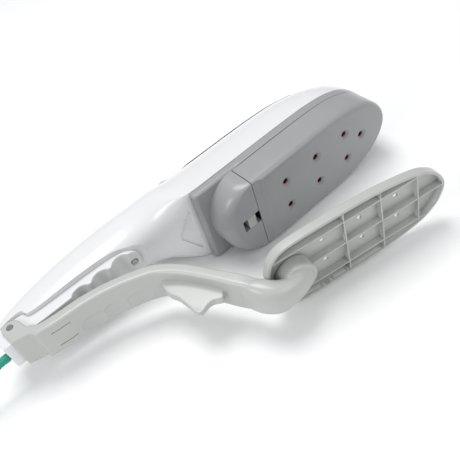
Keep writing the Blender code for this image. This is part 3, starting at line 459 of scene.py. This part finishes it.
CREASE = (
    (-252.0, 66.0),
    (-221.0, 66.0),
    (-214.0, 58.5),
    (-182.0, 57.0),
    (-160.0, 56.5),
    (-142.0, 55.0),
    (-129.0, 51.5),
    (-118.0, 46.5),
    (-110.0, 40.0),
)


def body_section(x, inset=0.0):
    low, high, half, wide = (interpolate(BODY_STATIONS, x, column) for column in range(1, 5))
    return low + inset, high - inset, half - inset, max(wide, low + inset + 0.8)


def body_ring(x, inset=0.0, points=88):
    """The body's section at x: a rounded crown over a flatter base."""
    low, high, half, wide = body_section(x, inset)
    ring = []
    for k in range(points):
        angle = 2 * math.pi * k / points
        side, rise = math.cos(angle), math.sin(angle)
        power = 2 / 2.25 if rise > 0 else 2 / 2.8
        reach = high - wide if rise > 0 else wide - low
        z = half * math.copysign(abs(side) ** power, side)
        y = wide + reach * math.copysign(abs(rise) ** power, rise)
        ring.append((x, y, z))
    return ring


def body_base(x, z):
    """Height of the body's underside at x and z."""
    low, _, half, wide = body_section(x)
    return wide - (wide - low) * max(1 - abs(z / half) ** 2.8, 0.0) ** (1 / 2.8)


def body_xs(start, end, count):
    return [start + (end - start) * math.sin(math.pi / 2 * k / (count - 1)) ** 0.9 for k in range(count)]


def offset_outline(outline, inset):
    """Each point moved inwards along the mean of its two edges' normals."""
    if not inset:
        return outline
    points = [Vector(p) for p in outline]
    centre = sum(points, Vector((0, 0))) / len(points)
    moved = []
    for before, here, after in zip([points[-1]] + points[:-1], points, points[1:] + points[:1]):
        first, second = (here - before).normalized(), (after - here).normalized()
        normal = Vector((-(first + second).y, (first + second).x)).normalized()
        if normal.dot(centre - here) < 0:
            normal.negate()
        stretch = max(abs(normal.dot(Vector((-first.y, first.x)))), 0.5)
        moved.append(tuple(here + normal * inset / stretch))
    return moved


def plan_sides(inset=0.0, count=151):
    """The head's plan as one open line from the right rear corner round the nose to the left one."""
    side = list(PLAN_SIDE)
    line = smooth_route(side + [(x, -z) for x, z in reversed(side[:-1])], count)
    return offset_outline(line, inset)[1:-1]


def plan_outline(inset=0.0, rear=COVER_REAR_X, corner=0.0):
    """The head's plan closed by a straight rear edge, whose ends may be rounded."""
    line = [(x, z) for x, z in plan_sides(inset) if x > rear + corner + 0.3]
    half = line[0][1]
    ends = []
    for k in range(7 if corner else 1):
        angle = math.radians(15.0 * k)
        ends.append((rear + corner - corner * math.sin(angle), half - corner + corner * math.cos(angle)))
    ends = ends[::-1]
    return ends + line + [(x, -z) for x, z in reversed(ends)]


def rounded_box_outline(low, high, radius, steps=9):
    outline = []
    corners = ((high[0], high[1], 0), (low[0], high[1], 90), (low[0], low[1], 180), (high[0], low[1], 270))
    for x, y, start in corners:
        cx = x - math.copysign(radius, x - (low[0] + high[0]) / 2)
        cy = y - math.copysign(radius, y - (low[1] + high[1]) / 2)
        for k in range(steps + 1):
            angle = math.radians(start + 90 * k / steps)
            outline.append((cx + radius * math.cos(angle), cy + radius * math.sin(angle)))
    return outline


def piece(obj, body, slot, *nodes):
    """Give a finished piece its body and hide the CAD nodes it stands for; slot is not used."""
    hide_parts(*nodes)
    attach(obj, body)
    return obj


# ---------------------------------------------------------------- white body and grip


def crease_side(drop=0.0):
    return [(x, y - drop) for x, y in smooth_route(CREASE, 90)] + [(-110.0, 25.0), (-252.0, 25.0)]


def body_rings():
    """Sections along the body, drawn in at both ends so that their edges are round."""
    xs = list(np.linspace(TAIL_X, TAIL_X + 3.0, 7)) + body_xs(TAIL_X + 3.6, 115.2, 118)
    xs += list(np.linspace(115.4, 116.2, 5))
    rings = []
    for x in xs:
        rear, front = max(3.0 - (x - TAIL_X), 0.0) / 3.0, max(1.4 - (116.2 - x), 0.0) / 1.4
        inset = 2.6 * (1 - math.sqrt(1 - rear**2)) + 1.0 * (1 - math.sqrt(1 - front**2))
        rings.append(body_ring(x, inset))
    return rings


def body_cavity():
    """The space inside the body shell: a handle part above the crease, and the open head."""
    handle = loft("handle_cavity", [body_ring(x, 2.4) for x in body_xs(TAIL_X + 3.0, -40.0, 50)])
    ledge = [(x - 0.5, y + 2.4) for x, y in smooth_route(CREASE, 60)] + [(-107.0, 25.0), (-256.0, 25.0)]
    handle = shape_with(handle, cut(extrude_side("ledge_limit", ledge, -40.0, 40.0)), WHITE)
    rings = [body_ring(x, 2.4) for x in body_xs(-65.0, 113.2, 60)]
    rings = [[(x, y if y > 40 else y - 12, z) for x, y, z in ring] for ring in rings]
    head = loft("head_cavity", rings)
    mouth = box("grip_mouth", (-238.0, 40.0, 2.2 - KEEL_HALF), (-133.0, 68.8, KEEL_HALF - 2.2))
    return handle, head, mouth


def panel_recess():
    """A shallow rounded-triangle recess on the neck's underside, just behind the head frame."""
    corners = ((-73.6, 25.0), (-89.5, 0.5), (-73.6, -25.0))
    loop = []
    for before, here, after in zip((corners[-1],) + corners, corners, corners[1:] + corners[:1]):
        here, before, after = Vector(here), Vector(before), Vector(after)
        start, end = here + (before - here).normalized() * 5.0, here + (after - here).normalized() * 5.0
        for k in range(11):
            t = k / 10
            loop.append(start * (1 - t) ** 2 + here * (2 * t * (1 - t)) + end * t**2)
        ahead = after + (here - after).normalized() * 5.0
        loop += [end.lerp(ahead, k / 16) for k in range(1, 16)]
    middle = sum(loop, Vector((0, 0))) / len(loop)
    levels = [(1.0, -3.0), (1.0, 0.7), (0.985, 1.1), (0.95, 1.25)]
    levels += [(share, 1.25) for share in (0.8, 0.6, 0.4, 0.2, 0.05)]
    rings = []
    for share, depth in levels:
        spots = [middle.lerp(p, share) for p in loop]
        rings.append([(x, body_base(x, z) + depth, z) for x, z in spots])
    return loft("panel_recess", rings)


def make_body():
    shell = loft("body", body_rings(), WHITE)
    scoop = extrude_side("grip_cut", crease_side(), -40.0, 40.0)
    heights = ((53.0, 91.5), (60.0, 85.0))
    pillars = [((x, low, 0), (x, high, 0), 3.8) for x, (low, high) in zip(GRIP_SCREW_XS, heights)]
    window = extrude_plan("tank_window", tank_outline(0.0), 60.0, 110.0)
    button_hole = rods("button_hole", [((BUTTON_X, 70, 0), (BUTTON_X, 110, 0), 8.6)], sides=72)
    bores = rods("post_bores", [((x, 45.0, 0), (x, 74.0, 0), 1.8) for x in GRIP_SCREW_XS])
    steps = cut(scoop, *body_cavity()) + joined(rods("posts", pillars))
    steps += cut(window, button_hole, bores, panel_recess())
    shell = shape_with(shell, steps, WHITE, 30.0)
    piece(shell, "steamer", "white_gloss", "body_shell")


FINGER_XS = (-176.0, -157.0, -138.0)


def grip_low(x):
    """Height of the grip's underside: flat, with three shallow finger hollows and turned-up ends."""
    low = 47.0
    for middle in FINGER_XS:
        reach = 9.4**2 - (x - middle) ** 2
        if reach > 0:
            low = max(low, 41.9 + math.sqrt(reach))
    return low


def make_grip():
    rear, front = TAIL_X + 1.5, -121.0
    crease = smooth_route(CREASE, 240)
    tops = (np.array([x for x, _ in crease]), np.array([y for _, y in crease]))
    near_ends = [rear + 0.15, rear + 0.5, rear + 1.0, front - 0.2, front - 0.6]
    xs = sorted(set(list(np.linspace(rear, front, 170)) + near_ends))
    rings = []
    for x in xs:
        near, far = max(2.2 - (x - rear), 0.0) / 2.2, max(2.2 - (front - x), 0.0) / 2.2
        pull = 2.2 * (1 - math.sqrt(1 - max(near, far) ** 2))
        top = float(np.interp(x, *tops)) - GAP
        low = min(grip_low(x) + pull, top - 0.4)
        nose = max((x + 134.0) / 13.4, 0.0)
        half = KEEL_HALF * (1 - 0.55 * nose**2.6) - pull * 0.5
        radius = min(1.3, (top - low) * 0.6)
        ring = [(x, top, half), (x, top, half / 2), (x, top, 0.0), (x, top, -half / 2), (x, top, -half)]
        for sign, angles in ((-1, range(0, 91, 10)), (1, range(90, -1, -10))):
            for angle in angles:
                a = math.radians(angle)
                ring.append((x, low + radius * (1 - math.sin(a)), sign * (half - radius * (1 - math.cos(a)))))
        rings.append(ring)
    grip = loft("grip", rings, WHITE)
    inner = [(rear + 3.0, 70.0), (-216.0, 70.0), (-209.0, 62.0), (-140.0, 60.0), (-134.0, 56.0)]
    inner += [(-132.0, 53.4), (-188.0, 53.4), (-192.0, 50.2), (rear + 3.0, 50.2)]
    hollow = extrude_side("grip_hollow", inner, 2.4 - KEEL_HALF, KEEL_HALF - 2.4)
    posts = rods("posts", [((x, 47.9, 0), (x, y, 0), 4.4) for x, y in zip(GRIP_SCREW_XS, (50.6, 58.0))])
    wells = rods("wells", [((x, 40.0, 0), (x, y, 0), 3.1) for x, y in zip(GRIP_SCREW_XS, (49.6, 52.0))])
    drops = []
    for x in GRIP_SCREW_XS:
        outline = [(x - 7.5, 0.0)]
        outline += [(x + 3.6 * math.cos(a), 3.6 * math.sin(a)) for a in np.linspace(-2.1, 2.1, 30)]
        drops.append(extrude_plan(f"drop_{x:.0f}", outline, 40.0, 47.9))
    bores = rods("bores", [((x, 40.0, 0), (x, 70.0, 0), 1.9) for x in GRIP_SCREW_XS])
    pin = rods("pin_hole", [((*PIVOT, -30), (*PIVOT, 30), 2.9)])
    exit_x, exit_y, _ = CORD_EXIT
    lead = rods("cord_hole", [((exit_x - 9, exit_y, 0), (exit_x + 5, exit_y, 0), 3.2)])
    grip = shape_with(grip, cut(hollow) + joined(posts) + cut(wells, *drops, bores, pin, lead), WHITE, 30.0)
    piece(grip, "steamer", "white_gloss", "grip_cover")


TANK_RISE = 1.1


def tank_outline(inset):
    return rounded_box_outline((-50.5 + inset, -22.5 + inset), (82.0 - inset, 22.5 - inset), 12 - inset, 12)


def make_tank():
    """A clear, hollow tank whose crown stands just proud of the shell, with its cap seat and outlet."""
    tank = loft("tank", [body_ring(x, -TANK_RISE) for x in body_xs(TAIL_X, 116.0, 110)], TEAL_CLEAR)
    limit = extrude_plan("tank_limit", tank_outline(GAP), 48.0, 110.0)
    hollow = loft("tank_hollow", [body_ring(x, 2.2) for x in body_xs(-60.0, 100.0, 70)])
    inner = extrude_plan("tank_inner", tank_outline(2.4), 50.2, 100.0)
    hollow = shape_with(hollow, [(inner, "INTERSECT", "MANIFOLD")], TEAL_CLEAR)
    seat = rods("cap_seat", [((CAP_X, 82.6, 0), (CAP_X, 100, 0), 9.2)], sides=72)
    fill = rods("fill_hole", [((CAP_X, 70, 0), (CAP_X, 100, 0), 6.0)], sides=64)
    outlet = rods("tank_outlet", [((-36, 40, 0), (-36, 56, 0), 1.9)])
    steps = [(limit, "INTERSECT", "MANIFOLD")] + cut(hollow, seat, fill, outlet)
    tank = shape_with(tank, steps, TEAL_CLEAR, 30.0)
    piece(tank, "steamer", "teal_clear", "water_tank")


def knurled(name, profile, centre, skin, teeth, band, depth, sides):
    """A turned piece whose radius carries fine teeth between two heights."""
    rings = []
    for height, radius in profile:
        on = depth if band[0] <= height <= band[1] else 0.0
        ring = []
        for k in range(sides):
            a = 2 * math.pi * k / sides
            r = radius - on * (0.5 + 0.5 * math.cos(teeth * a))
            ring.append((centre[0] + r * math.cos(a), centre[1] + height, centre[2] + r * math.sin(a)))
        rings.append(ring)
    return loft(name, rings, skin, 40.0)


def make_cap():
    """A turned cap with a toothed edge and a slot across its top."""
    profile = [(-6.0, 4.6), (0.6, 4.8), (0.6, 8.4), (0.8, 8.6), (2.2, 8.6)]
    profile += [(2.6, 8.5), (3.0, 8.2), (3.3, 7.7), (3.4, 7.1)]
    cap = knurled("cap", profile, (CAP_X, 83.6, 0), CAP_TEAL, 40, (0.75, 2.7), 0.3, 240)
    outline = rounded_box_outline((-6.6, -1.6), (6.6, 1.6), 1.5, 6)
    levels = ((0.94, 0.0), (1.0, 0.2), (1.06, 1.4))
    bar = loft("bar", [[(CAP_X + x * s, 86.1 + y, z * s) for x, z in outline] for s, y in levels])
    cap = shape_with(cap, cut(bar), CAP_TEAL, 40.0)
    piece(cap, "cap", "cap_teal", "tank_cap")


def make_button():
    """A milky dome with fine serrations round its shoulder."""
    profile = [(-1.2, 8.0), (-1.0, 8.2), (7.0, 8.2), (7.2, 8.2)]
    for k in range(1, 22):
        a = math.pi / 2 * k / 22
        profile.append((7.2 + 7.5 * math.sin(a), 8.2 * math.cos(a) ** 0.86))
    button = knurled("button", profile, (BUTTON_X, 85.2, 0), MILKY, 44, (7.4, 12.4), 0.22, 264)
    piece(button, "button", "milky_white", "steam_button")


# ---------------------------------------------------------------- head


COVER_EDGE = ((0.0, 5.0), (0.12, 4.2), (0.4, 3.35), (1.0, 2.35), (2.0, 1.45), (3.2, 0.8), (4.6, 0.45),
              (8.0, 0.22), (25.2, 0.0))


def cover_inset(y):
    return interpolate(COVER_EDGE, min(y, 25.2), 1)


def make_cover():
    """The sole cover: a deep tray with a flat steam face and countersunk holes."""
    ys = [25.0, 24.0, 20.0, 14.0, 9.0, 6.5, 5.0, 4.0, 3.2, 2.5, 2.0, 1.5]
    ys += [1.1, 0.8, 0.55, 0.35, 0.2, 0.1, 0.03, 0.0]
    rings = [[(x, y, z) for x, z in plan_outline(cover_inset(y))] for y in ys]
    cover = loft("cover", rings, GREY)
    inside = extrude_plan("inside", plan_outline(3.5), 2.5, 40.0)
    edge = [(COVER_REAR_X - 4.0, 2.3), (COVER_REAR_X, 2.1), (-25.4, 1.75), (-24.2, 1.6), (-23.2, 1.3)]
    edge += [(-22.2, 0.75), (-21.4, 0.35), (-20.6, 0.12), (-19.8, 0.02), (-19.0, -0.3)]
    edge += [(-21.0, -3.0), (COVER_REAR_X - 4.0, -3.0)]
    rear = extrude_side("rear", edge, -50.0, 50.0)
    bores = rods("bores", [((x, -3, z), (x, 6, z), 2.5) for x, z in STEAM_HOLES], sides=48)
    sinks = [cut_sink(k, x, z) for k, (x, z) in enumerate(STEAM_HOLES)]
    cover = shape_with(cover, cut(inside, rear, bores, *sinks), GREY, 28.0)
    piece(cover, "sole", "head_grey", "sole_cover")


def cut_sink(k, x, z):
    profile = ((-1.0, 7.0), (-0.02, 5.1), (0.06, 4.85), (0.18, 4.6), (0.36, 4.35), (1.6, 2.65), (1.75, 2.3))
    return turned(f"sink_{k}", profile, (x, 0, z), (0, 1, 0), None, 56)


def housing_ring(y, shrink=0.0, front=COVER_REAR_X - 0.5, count=61):
    """The latch housing's plan at one height: flush with the cover in front, more rounded at the rear."""
    drop = min(max((13.0 - y) / 11.0, 0.0), 1.0)
    rear = 9.5 * (1 - math.sqrt(1 - drop**2))
    side = cover_inset(y)
    ring = [(front, y, 36.0 - side - shrink)]
    for k in range(count):
        angle = math.pi * k / (count - 1)
        depth = math.sin(angle) ** 0.9 if 0 < k < count - 1 else 0.0
        inset = shrink + side + (rear - side) * min(depth * 1.5, 1.0)
        ring.append((front - 3.0 - (28.5 - inset) * depth, y, (36.0 - inset) * math.cos(angle)))
    return ring + [(front, y, side + shrink - 36.0)]


def frame_outline(shrink, corner=2.4):
    """The head frame's outline, drawn in by shrink, most of it at the free rear plate."""
    near, far = plan_sides(shrink - 0.7), plan_sides(0.15 * shrink - 0.25)
    rim = []
    for (x, z), (fx, fz) in zip(near, far):
        share = min(max((x + 34.0) / 12.0, 0.0), 1.0)
        nose = min(max((x - 20.0) / 60.0, 0.0), 1.0)
        grown = 0.45 * (1 - nose) * math.copysign(1.0, z) * share
        if x > COVER_REAR_X - 6.0:
            rim.append((x + (fx - x) * share, z + (fz + grown - z) * share))
    side = rim[0][1]
    tail = []
    for k in range(11):
        angle = math.radians(90 + 9 * k)
        x, z = FRAME_REAR_X + shrink + corner, side - corner
        tail.append((x + corner * math.cos(angle), z + corner * math.sin(angle)))
    tail = tail[::-1]
    return tail + rim + [(x, -z) for x, z in reversed(tail)]


def make_frame():
    """Bezel, rear plate with a rounded edge, and latch housing in one moulding."""
    top = RIM_Y - GAP
    edge = [(math.radians(a), 2.6) for a in range(0, 91, 10)]
    levels = [(PART_Y + r * (1 - math.sin(a)), r * (1 - math.cos(a))) for a, r in reversed(edge)]
    levels += [(top - 0.4, 0.0), (top - 0.1, 0.1), (top, 0.4)]
    bezel = loft("bezel", [[(x, y, z) for x, z in frame_outline(shrink)] for y, shrink in levels], GREY)
    opening = extrude_plan("opening", plan_outline(4.5, COVER_REAR_X - 6.0), 10.0, 50.0)
    ys = [27.6, 20.0, 14.0] + [13.0 - 11.0 * math.sin(math.radians(a)) for a in range(6, 91, 6)]
    housing = loft("housing", [housing_ring(y) for y in ys])
    inner = [(y, housing_ring(max(y, 8.5), 3.0)) for y in (40.0, 12.0, 8.2)]
    hollow = loft("hollow", [[(min(x, COVER_REAR_X - 3.2), y, z) for x, _, z in ring] for y, ring in inner])
    slot = extrude_plan("slot", rounded_box_outline((-48.0, -5.8), (-24.0, 5.8), 1.2, 5), -2.0, 11.0)
    passage = box("passage", (-38.5, 13.3, -20.0), (-26.0, 34.0, 20.0))
    lugs = [box(f"lug_{k}", (-46.2, 22.0, z - 4.2), (-38.2, top, z + 4.2))
            for k, z in enumerate(FRAME_SCREW_ZS)]
    holes = rods("holes", [((FRAME_SCREW_X, 15, z), (FRAME_SCREW_X, 40, z), 1.9) for z in FRAME_SCREW_ZS])
    steps = cut(opening) + joined(housing) + cut(hollow, slot, passage) + joined(*lugs) + cut(holes)
    made = shape_with(bezel, steps, GREY, 30.0)
    piece(made, "steamer", "head_grey", "head_frame")


def make_latch():
    """The ribbed slider that frees the sole cover."""
    shape = bmesh.new()
    low, high = (-43.2, 1.6, -5.4), (-35.4, 9.6, 5.4)
    size = [b - a for a, b in zip(low, high)]
    middle = [(a + b) / 2 for a, b in zip(low, high)]
    matrix = Matrix.Translation(middle) @ Matrix.Diagonal((*size, 1.0))
    bmesh.ops.create_cube(shape, size=1.0, matrix=matrix)
    bmesh.ops.bevel(shape, geom=list(shape.edges), offset=0.5, segments=4, affect="EDGES", profile=0.5)
    slider = from_bmesh("slider", shape, PALE)
    foot = box("foot", (-41.5, 8.6, -8.4), (-36.3, 10.4, 8.4))
    ribs = [rods(f"rib_{x:.1f}", [((x, 1.5, -7), (x, 1.5, 7), 0.5)], sides=20)
            for x in (-41.8, -40.1, -38.4, -36.7)]
    slider = shape_with(slider, joined(foot) + cut(*ribs), PALE, 30.0)
    piece(slider, "latch", "pale_grey", "latch_slider")


# ---------------------------------------------------------------- press arm and plate

ARM_UNDER = (
    (-238.0, 44.3),
    (-223.5, 40.3),
    (-221.0, 36.2),
    (-205.0, 33.0),
    (-178.0, 30.0),
    (-157.0, 24.5),
    (-139.0, 17.0),
    (-127.0, 9.5),
    (-115.0, -5.0),
    (-104.0, -25.5),
    (-96.0, -43.0),
    (-90.0, -55.0),
    (-82.0, -64.0),
    (-72.0, -68.0),
)
ARM_THICK, ARM_HALF = 9.0, 15.8
NECK = (
    (-91.0, -47.0, -62.0, 3.6, 14.0),
    (-86.6, -53.4, -60.0, 7.4, 15.5),
    (-81.8, -59.8, -50.0, 10.0, 15.4),
    (-76.6, -65.9, -30.0, 10.2, 14.2),
    (-69.5, -69.3, -8.0, 8.6, 12.4),
    (-62.0, -70.0, 0.0, 7.6, 11.2),
    (-54.0, -69.6, 4.0, 6.6, 10.4),
    (-47.0, -69.0, 4.0, 5.0, 8.4),
)
PLATE_SIDE = (
    (-68.0, 8.0),
    (-67.2, 13.5),
    (-62.0, 25.5),
    (-47.0, 33.2),
    (-2.0, 34.0),
    (32.0, 32.4),
    (64.0, 27.2),
    (78.0, 20.6),
    (86.0, 12.6),
    (90.6, 0.0),
)


def plate_point(s, depth):
    """A point of the press plate: s along it from its origin, depth from the ribbed face."""
    c, d = math.cos(PRESS_ANGLE), math.sin(PRESS_ANGLE)
    return PRESS_ORIGIN[0] + c * s - d * depth, PRESS_ORIGIN[1] + d * s + c * depth


def plate_outline(inset=0.0, count=150):
    half = list(PLATE_SIDE)
    line = smooth_route(half + [(s, -z) for s, z in reversed(half[:-1])], count)
    return offset_outline(line, inset)


def plate_prism(name, levels, skin=None):
    """Outlines in s and z at their depths, joined into one solid."""
    rings = [[(*plate_point(s, depth), z) for s, z in outline] for depth, outline in levels]
    return loft(name, rings, skin, 35.0)


def arm_section(under, upper, floor_share, round_share):
    """A channel across the arm: round lower corners, side walls and a floor."""
    radius, wall = 2.8, 2.6
    floor = 2.4 + (ARM_THICK - 0.02 - 2.4) * floor_share
    profile = [(ARM_HALF - 0.6, ARM_THICK), (ARM_HALF - 0.15, ARM_THICK - 0.15), (ARM_HALF, ARM_THICK - 0.6)]
    for a in np.linspace(0, math.pi / 2, 9):
        profile.append((ARM_HALF - radius * (1 - math.cos(a)), radius * (1 - math.sin(a))))
    profile += [(ARM_HALF / 2, 0.0), (0.0, 0.0)]
    profile += [(-z, h) for z, h in reversed(profile[:-1])]
    inner = ARM_HALF - wall
    profile += [(-inner, ARM_THICK), (-inner, floor), (0.0, floor), (inner, floor), (inner, ARM_THICK)]
    under, upper = Vector(under), Vector(upper)
    ring = []
    for z, height in profile:
        angle = math.atan2(height - ARM_THICK / 2, z / 3.2)
        side, rise = (math.copysign(abs(v) ** 0.6, v) for v in (math.cos(angle), math.sin(angle)))
        z += ((15.8 - 1.6 * round_share) * side - z) * round_share
        height += (ARM_THICK / 2 + 4.4 * rise - height) * round_share
        x, y = under.lerp(upper, height / ARM_THICK)
        ring.append((x, y, z))
    return ring


def arm_solid():
    """The bar from its clip to the elbow."""
    under = [Vector(p) for p in smooth_route(ARM_UNDER, 130) if p[0] < -83.5]
    rings = []
    for before, here, after in zip([under[0]] + under[:-1], under, under[1:] + under[-1:]):
        along = (after - before).normalized()
        upper = here + Vector((-along.y, along.x)) * ARM_THICK
        share = min(max((here.x + 137.0) / 9.0, 0.0), 1.0)
        rounding = min(max((here.x + 96.0) / 12.0, 0.0), 1.0)
        upper += (upper - here) * 0.24 * min(max((here.x + 104.0) / 12.0, 0.0), 1.0)
        rings.append(arm_section(here, upper, share, rounding))
    return loft("arm", rings, PALE)


def neck_ring(x, y, slope, thick, wide, points=48):
    lean = math.radians(slope)
    ring = []
    for k in range(points):
        angle = 2 * math.pi * k / points
        side, rise = (math.copysign(abs(v) ** 0.82, v) for v in (math.cos(angle), math.sin(angle)))
        up = thick * rise
        ring.append((x - up * math.sin(lean), y + up * math.cos(lean), wide * side))
    return ring


def softened(obj, size, rounds):
    """Rebuild a joined solid on an even grid and relax it, so that its inner corners become fillets."""
    grid = obj.modifiers.new("grid", "REMESH")
    grid.mode, grid.voxel_size = "VOXEL", size * MM
    relax = obj.modifiers.new("relax", "SMOOTH")
    relax.factor, relax.iterations = 0.5, rounds
    bpy.context.view_layer.update()
    mesh = bpy.data.meshes.new_from_object(obj.evaluated_get(bpy.context.evaluated_depsgraph_get()))
    name, skin = obj.name, obj.data.materials[0]
    bpy.data.objects.remove(obj, do_unlink=True)
    return from_mesh(name, mesh, skin, 180.0)


def thumb_oval(x):
    """A shallow oval bowl in the arm's underside."""
    under = smooth_route(ARM_UNDER, 130)
    k = min(range(1, 129), key=lambda i: abs(under[i][0] - x))
    here, along = Vector(under[k]), (Vector(under[k + 1]) - Vector(under[k - 1])).normalized()
    out = Vector((along.y, -along.x))
    centre = here + out * 1.15
    turn = Matrix(((along.x, out.x, 0), (along.y, out.y, 0), (0, 0, 1))).to_4x4()
    shape = bmesh.new()
    matrix = Matrix.Translation((*centre, -6.2)) @ turn @ Matrix.Diagonal((11.5, 2.4, 9.0, 1.0))
    bmesh.ops.create_uvsphere(shape, u_segments=72, v_segments=48, radius=1.0, matrix=matrix)
    return from_bmesh(f"oval_{x:.0f}", shape)


def make_arm():
    ears = [(-237.6, 45.6), (-222.5, 42.0), (-223.0, 54.0), (-225.5, 62.0), (-232.0, 65.0), (-238.5, 62.0)]
    ears = offset_outline(smooth_route(ears + ears[:1], 50)[:-1], 0.0)
    cheeks = [extrude_side(f"ear_{low:.0f}", ears, low, high)
              for low, high in ((13.2, ARM_HALF), (-ARM_HALF, -13.2))]
    spur = [(-127.0, 14.0), (-129.0, -1.0), (-126.4, -12.0), (-125.5, -24.0), (-125.5, -31.0)]
    spur += [(-124.2, -34.4), (-121.0, -35.2), (-116.0, -33.8), (-110.0, -34.4), (-104.0, -38.0)]
    spur += [(-101.0, -30.0), (-113.0, -4.0)]
    spur = smooth_route(spur + spur[:1], 90)[:-1]
    reaches = [0.835 * (-115.0 - x) + 0.55 * (-5.0 - y) for x, y in spur]
    wide = [min(2.4 + 0.1 * max(21.0 - reach, 0.0), 5.0) for reach in reaches]
    spur = loft("spur", [[(x, y, side * w) for (x, y), w in zip(spur, wide)] for side in (-1, 1)])
    stations = smooth_route(NECK, 40)
    elbow = loft("elbow", [neck_ring(*row) for row in stations])
    arm = shape_with(arm_solid(), joined(*cheeks, spur, elbow), PALE)
    clearance = plate_prism("clearance", [(d, plate_outline(-0.5)) for d in (-0.5, 12.0)])
    boss = [(-7.0, 13.4), (-6.7, 14.2), (-6.0, 14.7), (-5.0, 14.8), (5.4, 14.8)]
    near = plate_point(-46, 0.0)
    axis = (-math.sin(PRESS_ANGLE), math.cos(PRESS_ANGLE), 0.0)
    boss = turned("boss", boss, (*near, 0.0), axis, None, 72)
    arm = softened(shape_with(arm, cut(clearance) + joined(boss), PALE), 0.6, 7)
    cuts = [rods("pin_bore", [((*PIVOT, -20), (*PIVOT, 20), 2.8)])]
    for side in (-8.0, 8.0):
        slit = rounded_box_outline((-212.0, side - 0.4), (-196.0, side + 0.4), 0.38, 4)
        cuts.append(extrude_plan(f"slit_{side:.0f}", slit, 20.0, 48.0))
    cuts += [thumb_oval(x) for x in (-181.0, -163.0, -145.0)]
    arm = shape_with(arm, cut(*cuts), PALE, 50.0)
    piece(arm, "press", "pale_grey", "press_arm")


def make_plate():
    """A ribbed plate: a thin pressing wall, a raised rim and a grid of ribs."""
    edge = [(0.0, 0.5), (0.15, 0.15), (0.5, 0.0), (6.6, 0.0), (7.4, 0.25), (7.85, 0.7), (8.0, 1.3)]
    plate = plate_prism("plate", [(d, plate_outline(i)) for d, i in edge], PALE)
    hollow = plate_prism("hollow", [(d, plate_outline(i)) for d, i in ((-4.0, 1.7), (0.0, 2.1), (6.0, 2.4))])
    ribs = [(-61.0, 90.0, z - 0.7, z + 0.7) for z in (-22.5, 0.0, 22.5)]
    ribs += [(s - 0.7, s + 0.7, -40.0, 40.0) for s in (0.0, 32.7, 65.9)]
    bars = []
    for k, (low, high, near, far) in enumerate(ribs):
        levels = []
        for depth, i in ((0.6, 0.25), (0.85, 0.0), (9.0, 0.0)):
            corners = [(low + i, near + i), (high - i, near + i), (high - i, far - i), (low + i, far - i)]
            levels.append((depth, corners))
        bars.append(plate_prism(f"rib_{k}", levels))
    hollow = shape_with(hollow, cut(*bars), PALE)
    holes = [rods(f"hole_{s:.0f}_{z:.0f}", [((*plate_point(s, -2.0), z), (*plate_point(s, 12.0), z), 2.2)])
             for s in (-17.0, 16.0, 49.0) for z in (-11.0, 11.0)]
    outer, inner = plate_point(-46.0, -12.0), plate_point(-46.0, 5.7)
    seat = rods("seat", [((*outer, 0.0), (*inner, 0.0), 15.2)], sides=72)
    plate = shape_with(plate, cut(hollow, *holes, seat), PALE, 32.0)
    piece(plate, "press", "pale_grey", "press_plate")


make_body()
make_grip()
make_tank()
make_cap()
make_button()
make_cover()
make_frame()
make_latch()
make_arm()
make_plate()


# ---------------------------------------------------------------- stage


def make_stage():
    floor = bpy.data.meshes.new("floor")
    floor.from_pydata([(-6, -6, 0), (6, -6, 0), (6, 6, 0), (-6, 6, 0)], [], [(0, 1, 2, 3)])
    ground = from_mesh("floor", floor, plastic("floor_paper", (0.96, 0.96, 0.96), 0.8, 200.0, 0.0, 0.003))
    lights = (("front", (0.3, -0.8, 0.75), 1.8, 0.6), ("top", (0.1, 0.4, 1.35), 10.5, 0.7),
              ("left", (-1.0, -0.1, 0.6), 3.2, 0.45))
    for name, place, power, size in lights:
        data = bpy.data.lights.new(name, "AREA")
        data.energy, data.size = power, size
        lamp = bpy.data.objects.new(name, data)
        lamp.location = place
        lamp.rotation_mode = "QUATERNION"
        lamp.rotation_quaternion = (Vector((0, 0, 0.03)) - Vector(place)).to_track_quat("-Z", "Y")
        bpy.context.scene.collection.objects.link(lamp)
    world = bpy.data.worlds.new("studio")
    world.use_nodes = True
    world.node_tree.nodes["Background"].inputs["Color"].default_value = (0.97, 0.98, 1.0, 1.0)
    world.node_tree.nodes["Background"].inputs["Strength"].default_value = 0.5
    bpy.context.scene.world = world
    bpy.context.scene.view_settings.view_transform = "Standard"


make_stage()


# ---------------------------------------------------------------- carried-over CAD nodes

DRESS = {
    "white_gloss": WHITE,
    "head_grey": GREY,
    "pale_grey": PALE,
    "teal_clear": TEAL_CLEAR,
    "cord_teal": TEAL,
    "cap_teal": CAP_TEAL,
    "milky_white": MILKY,
    "cast_aluminium": ALUMINIUM,
    "bright_steel": STEEL,
    "brass": BRASS,
    "red_silicone": RED,
    "black_plastic": BLACK,
    "clear_hose": HOSE,
}
for part in frame["record"]["subparts"]:
    target = frame["nodes"][part["node"]]
    target.data.materials.clear()
    target.data.materials.append(DRESS[part["material_slot"]])
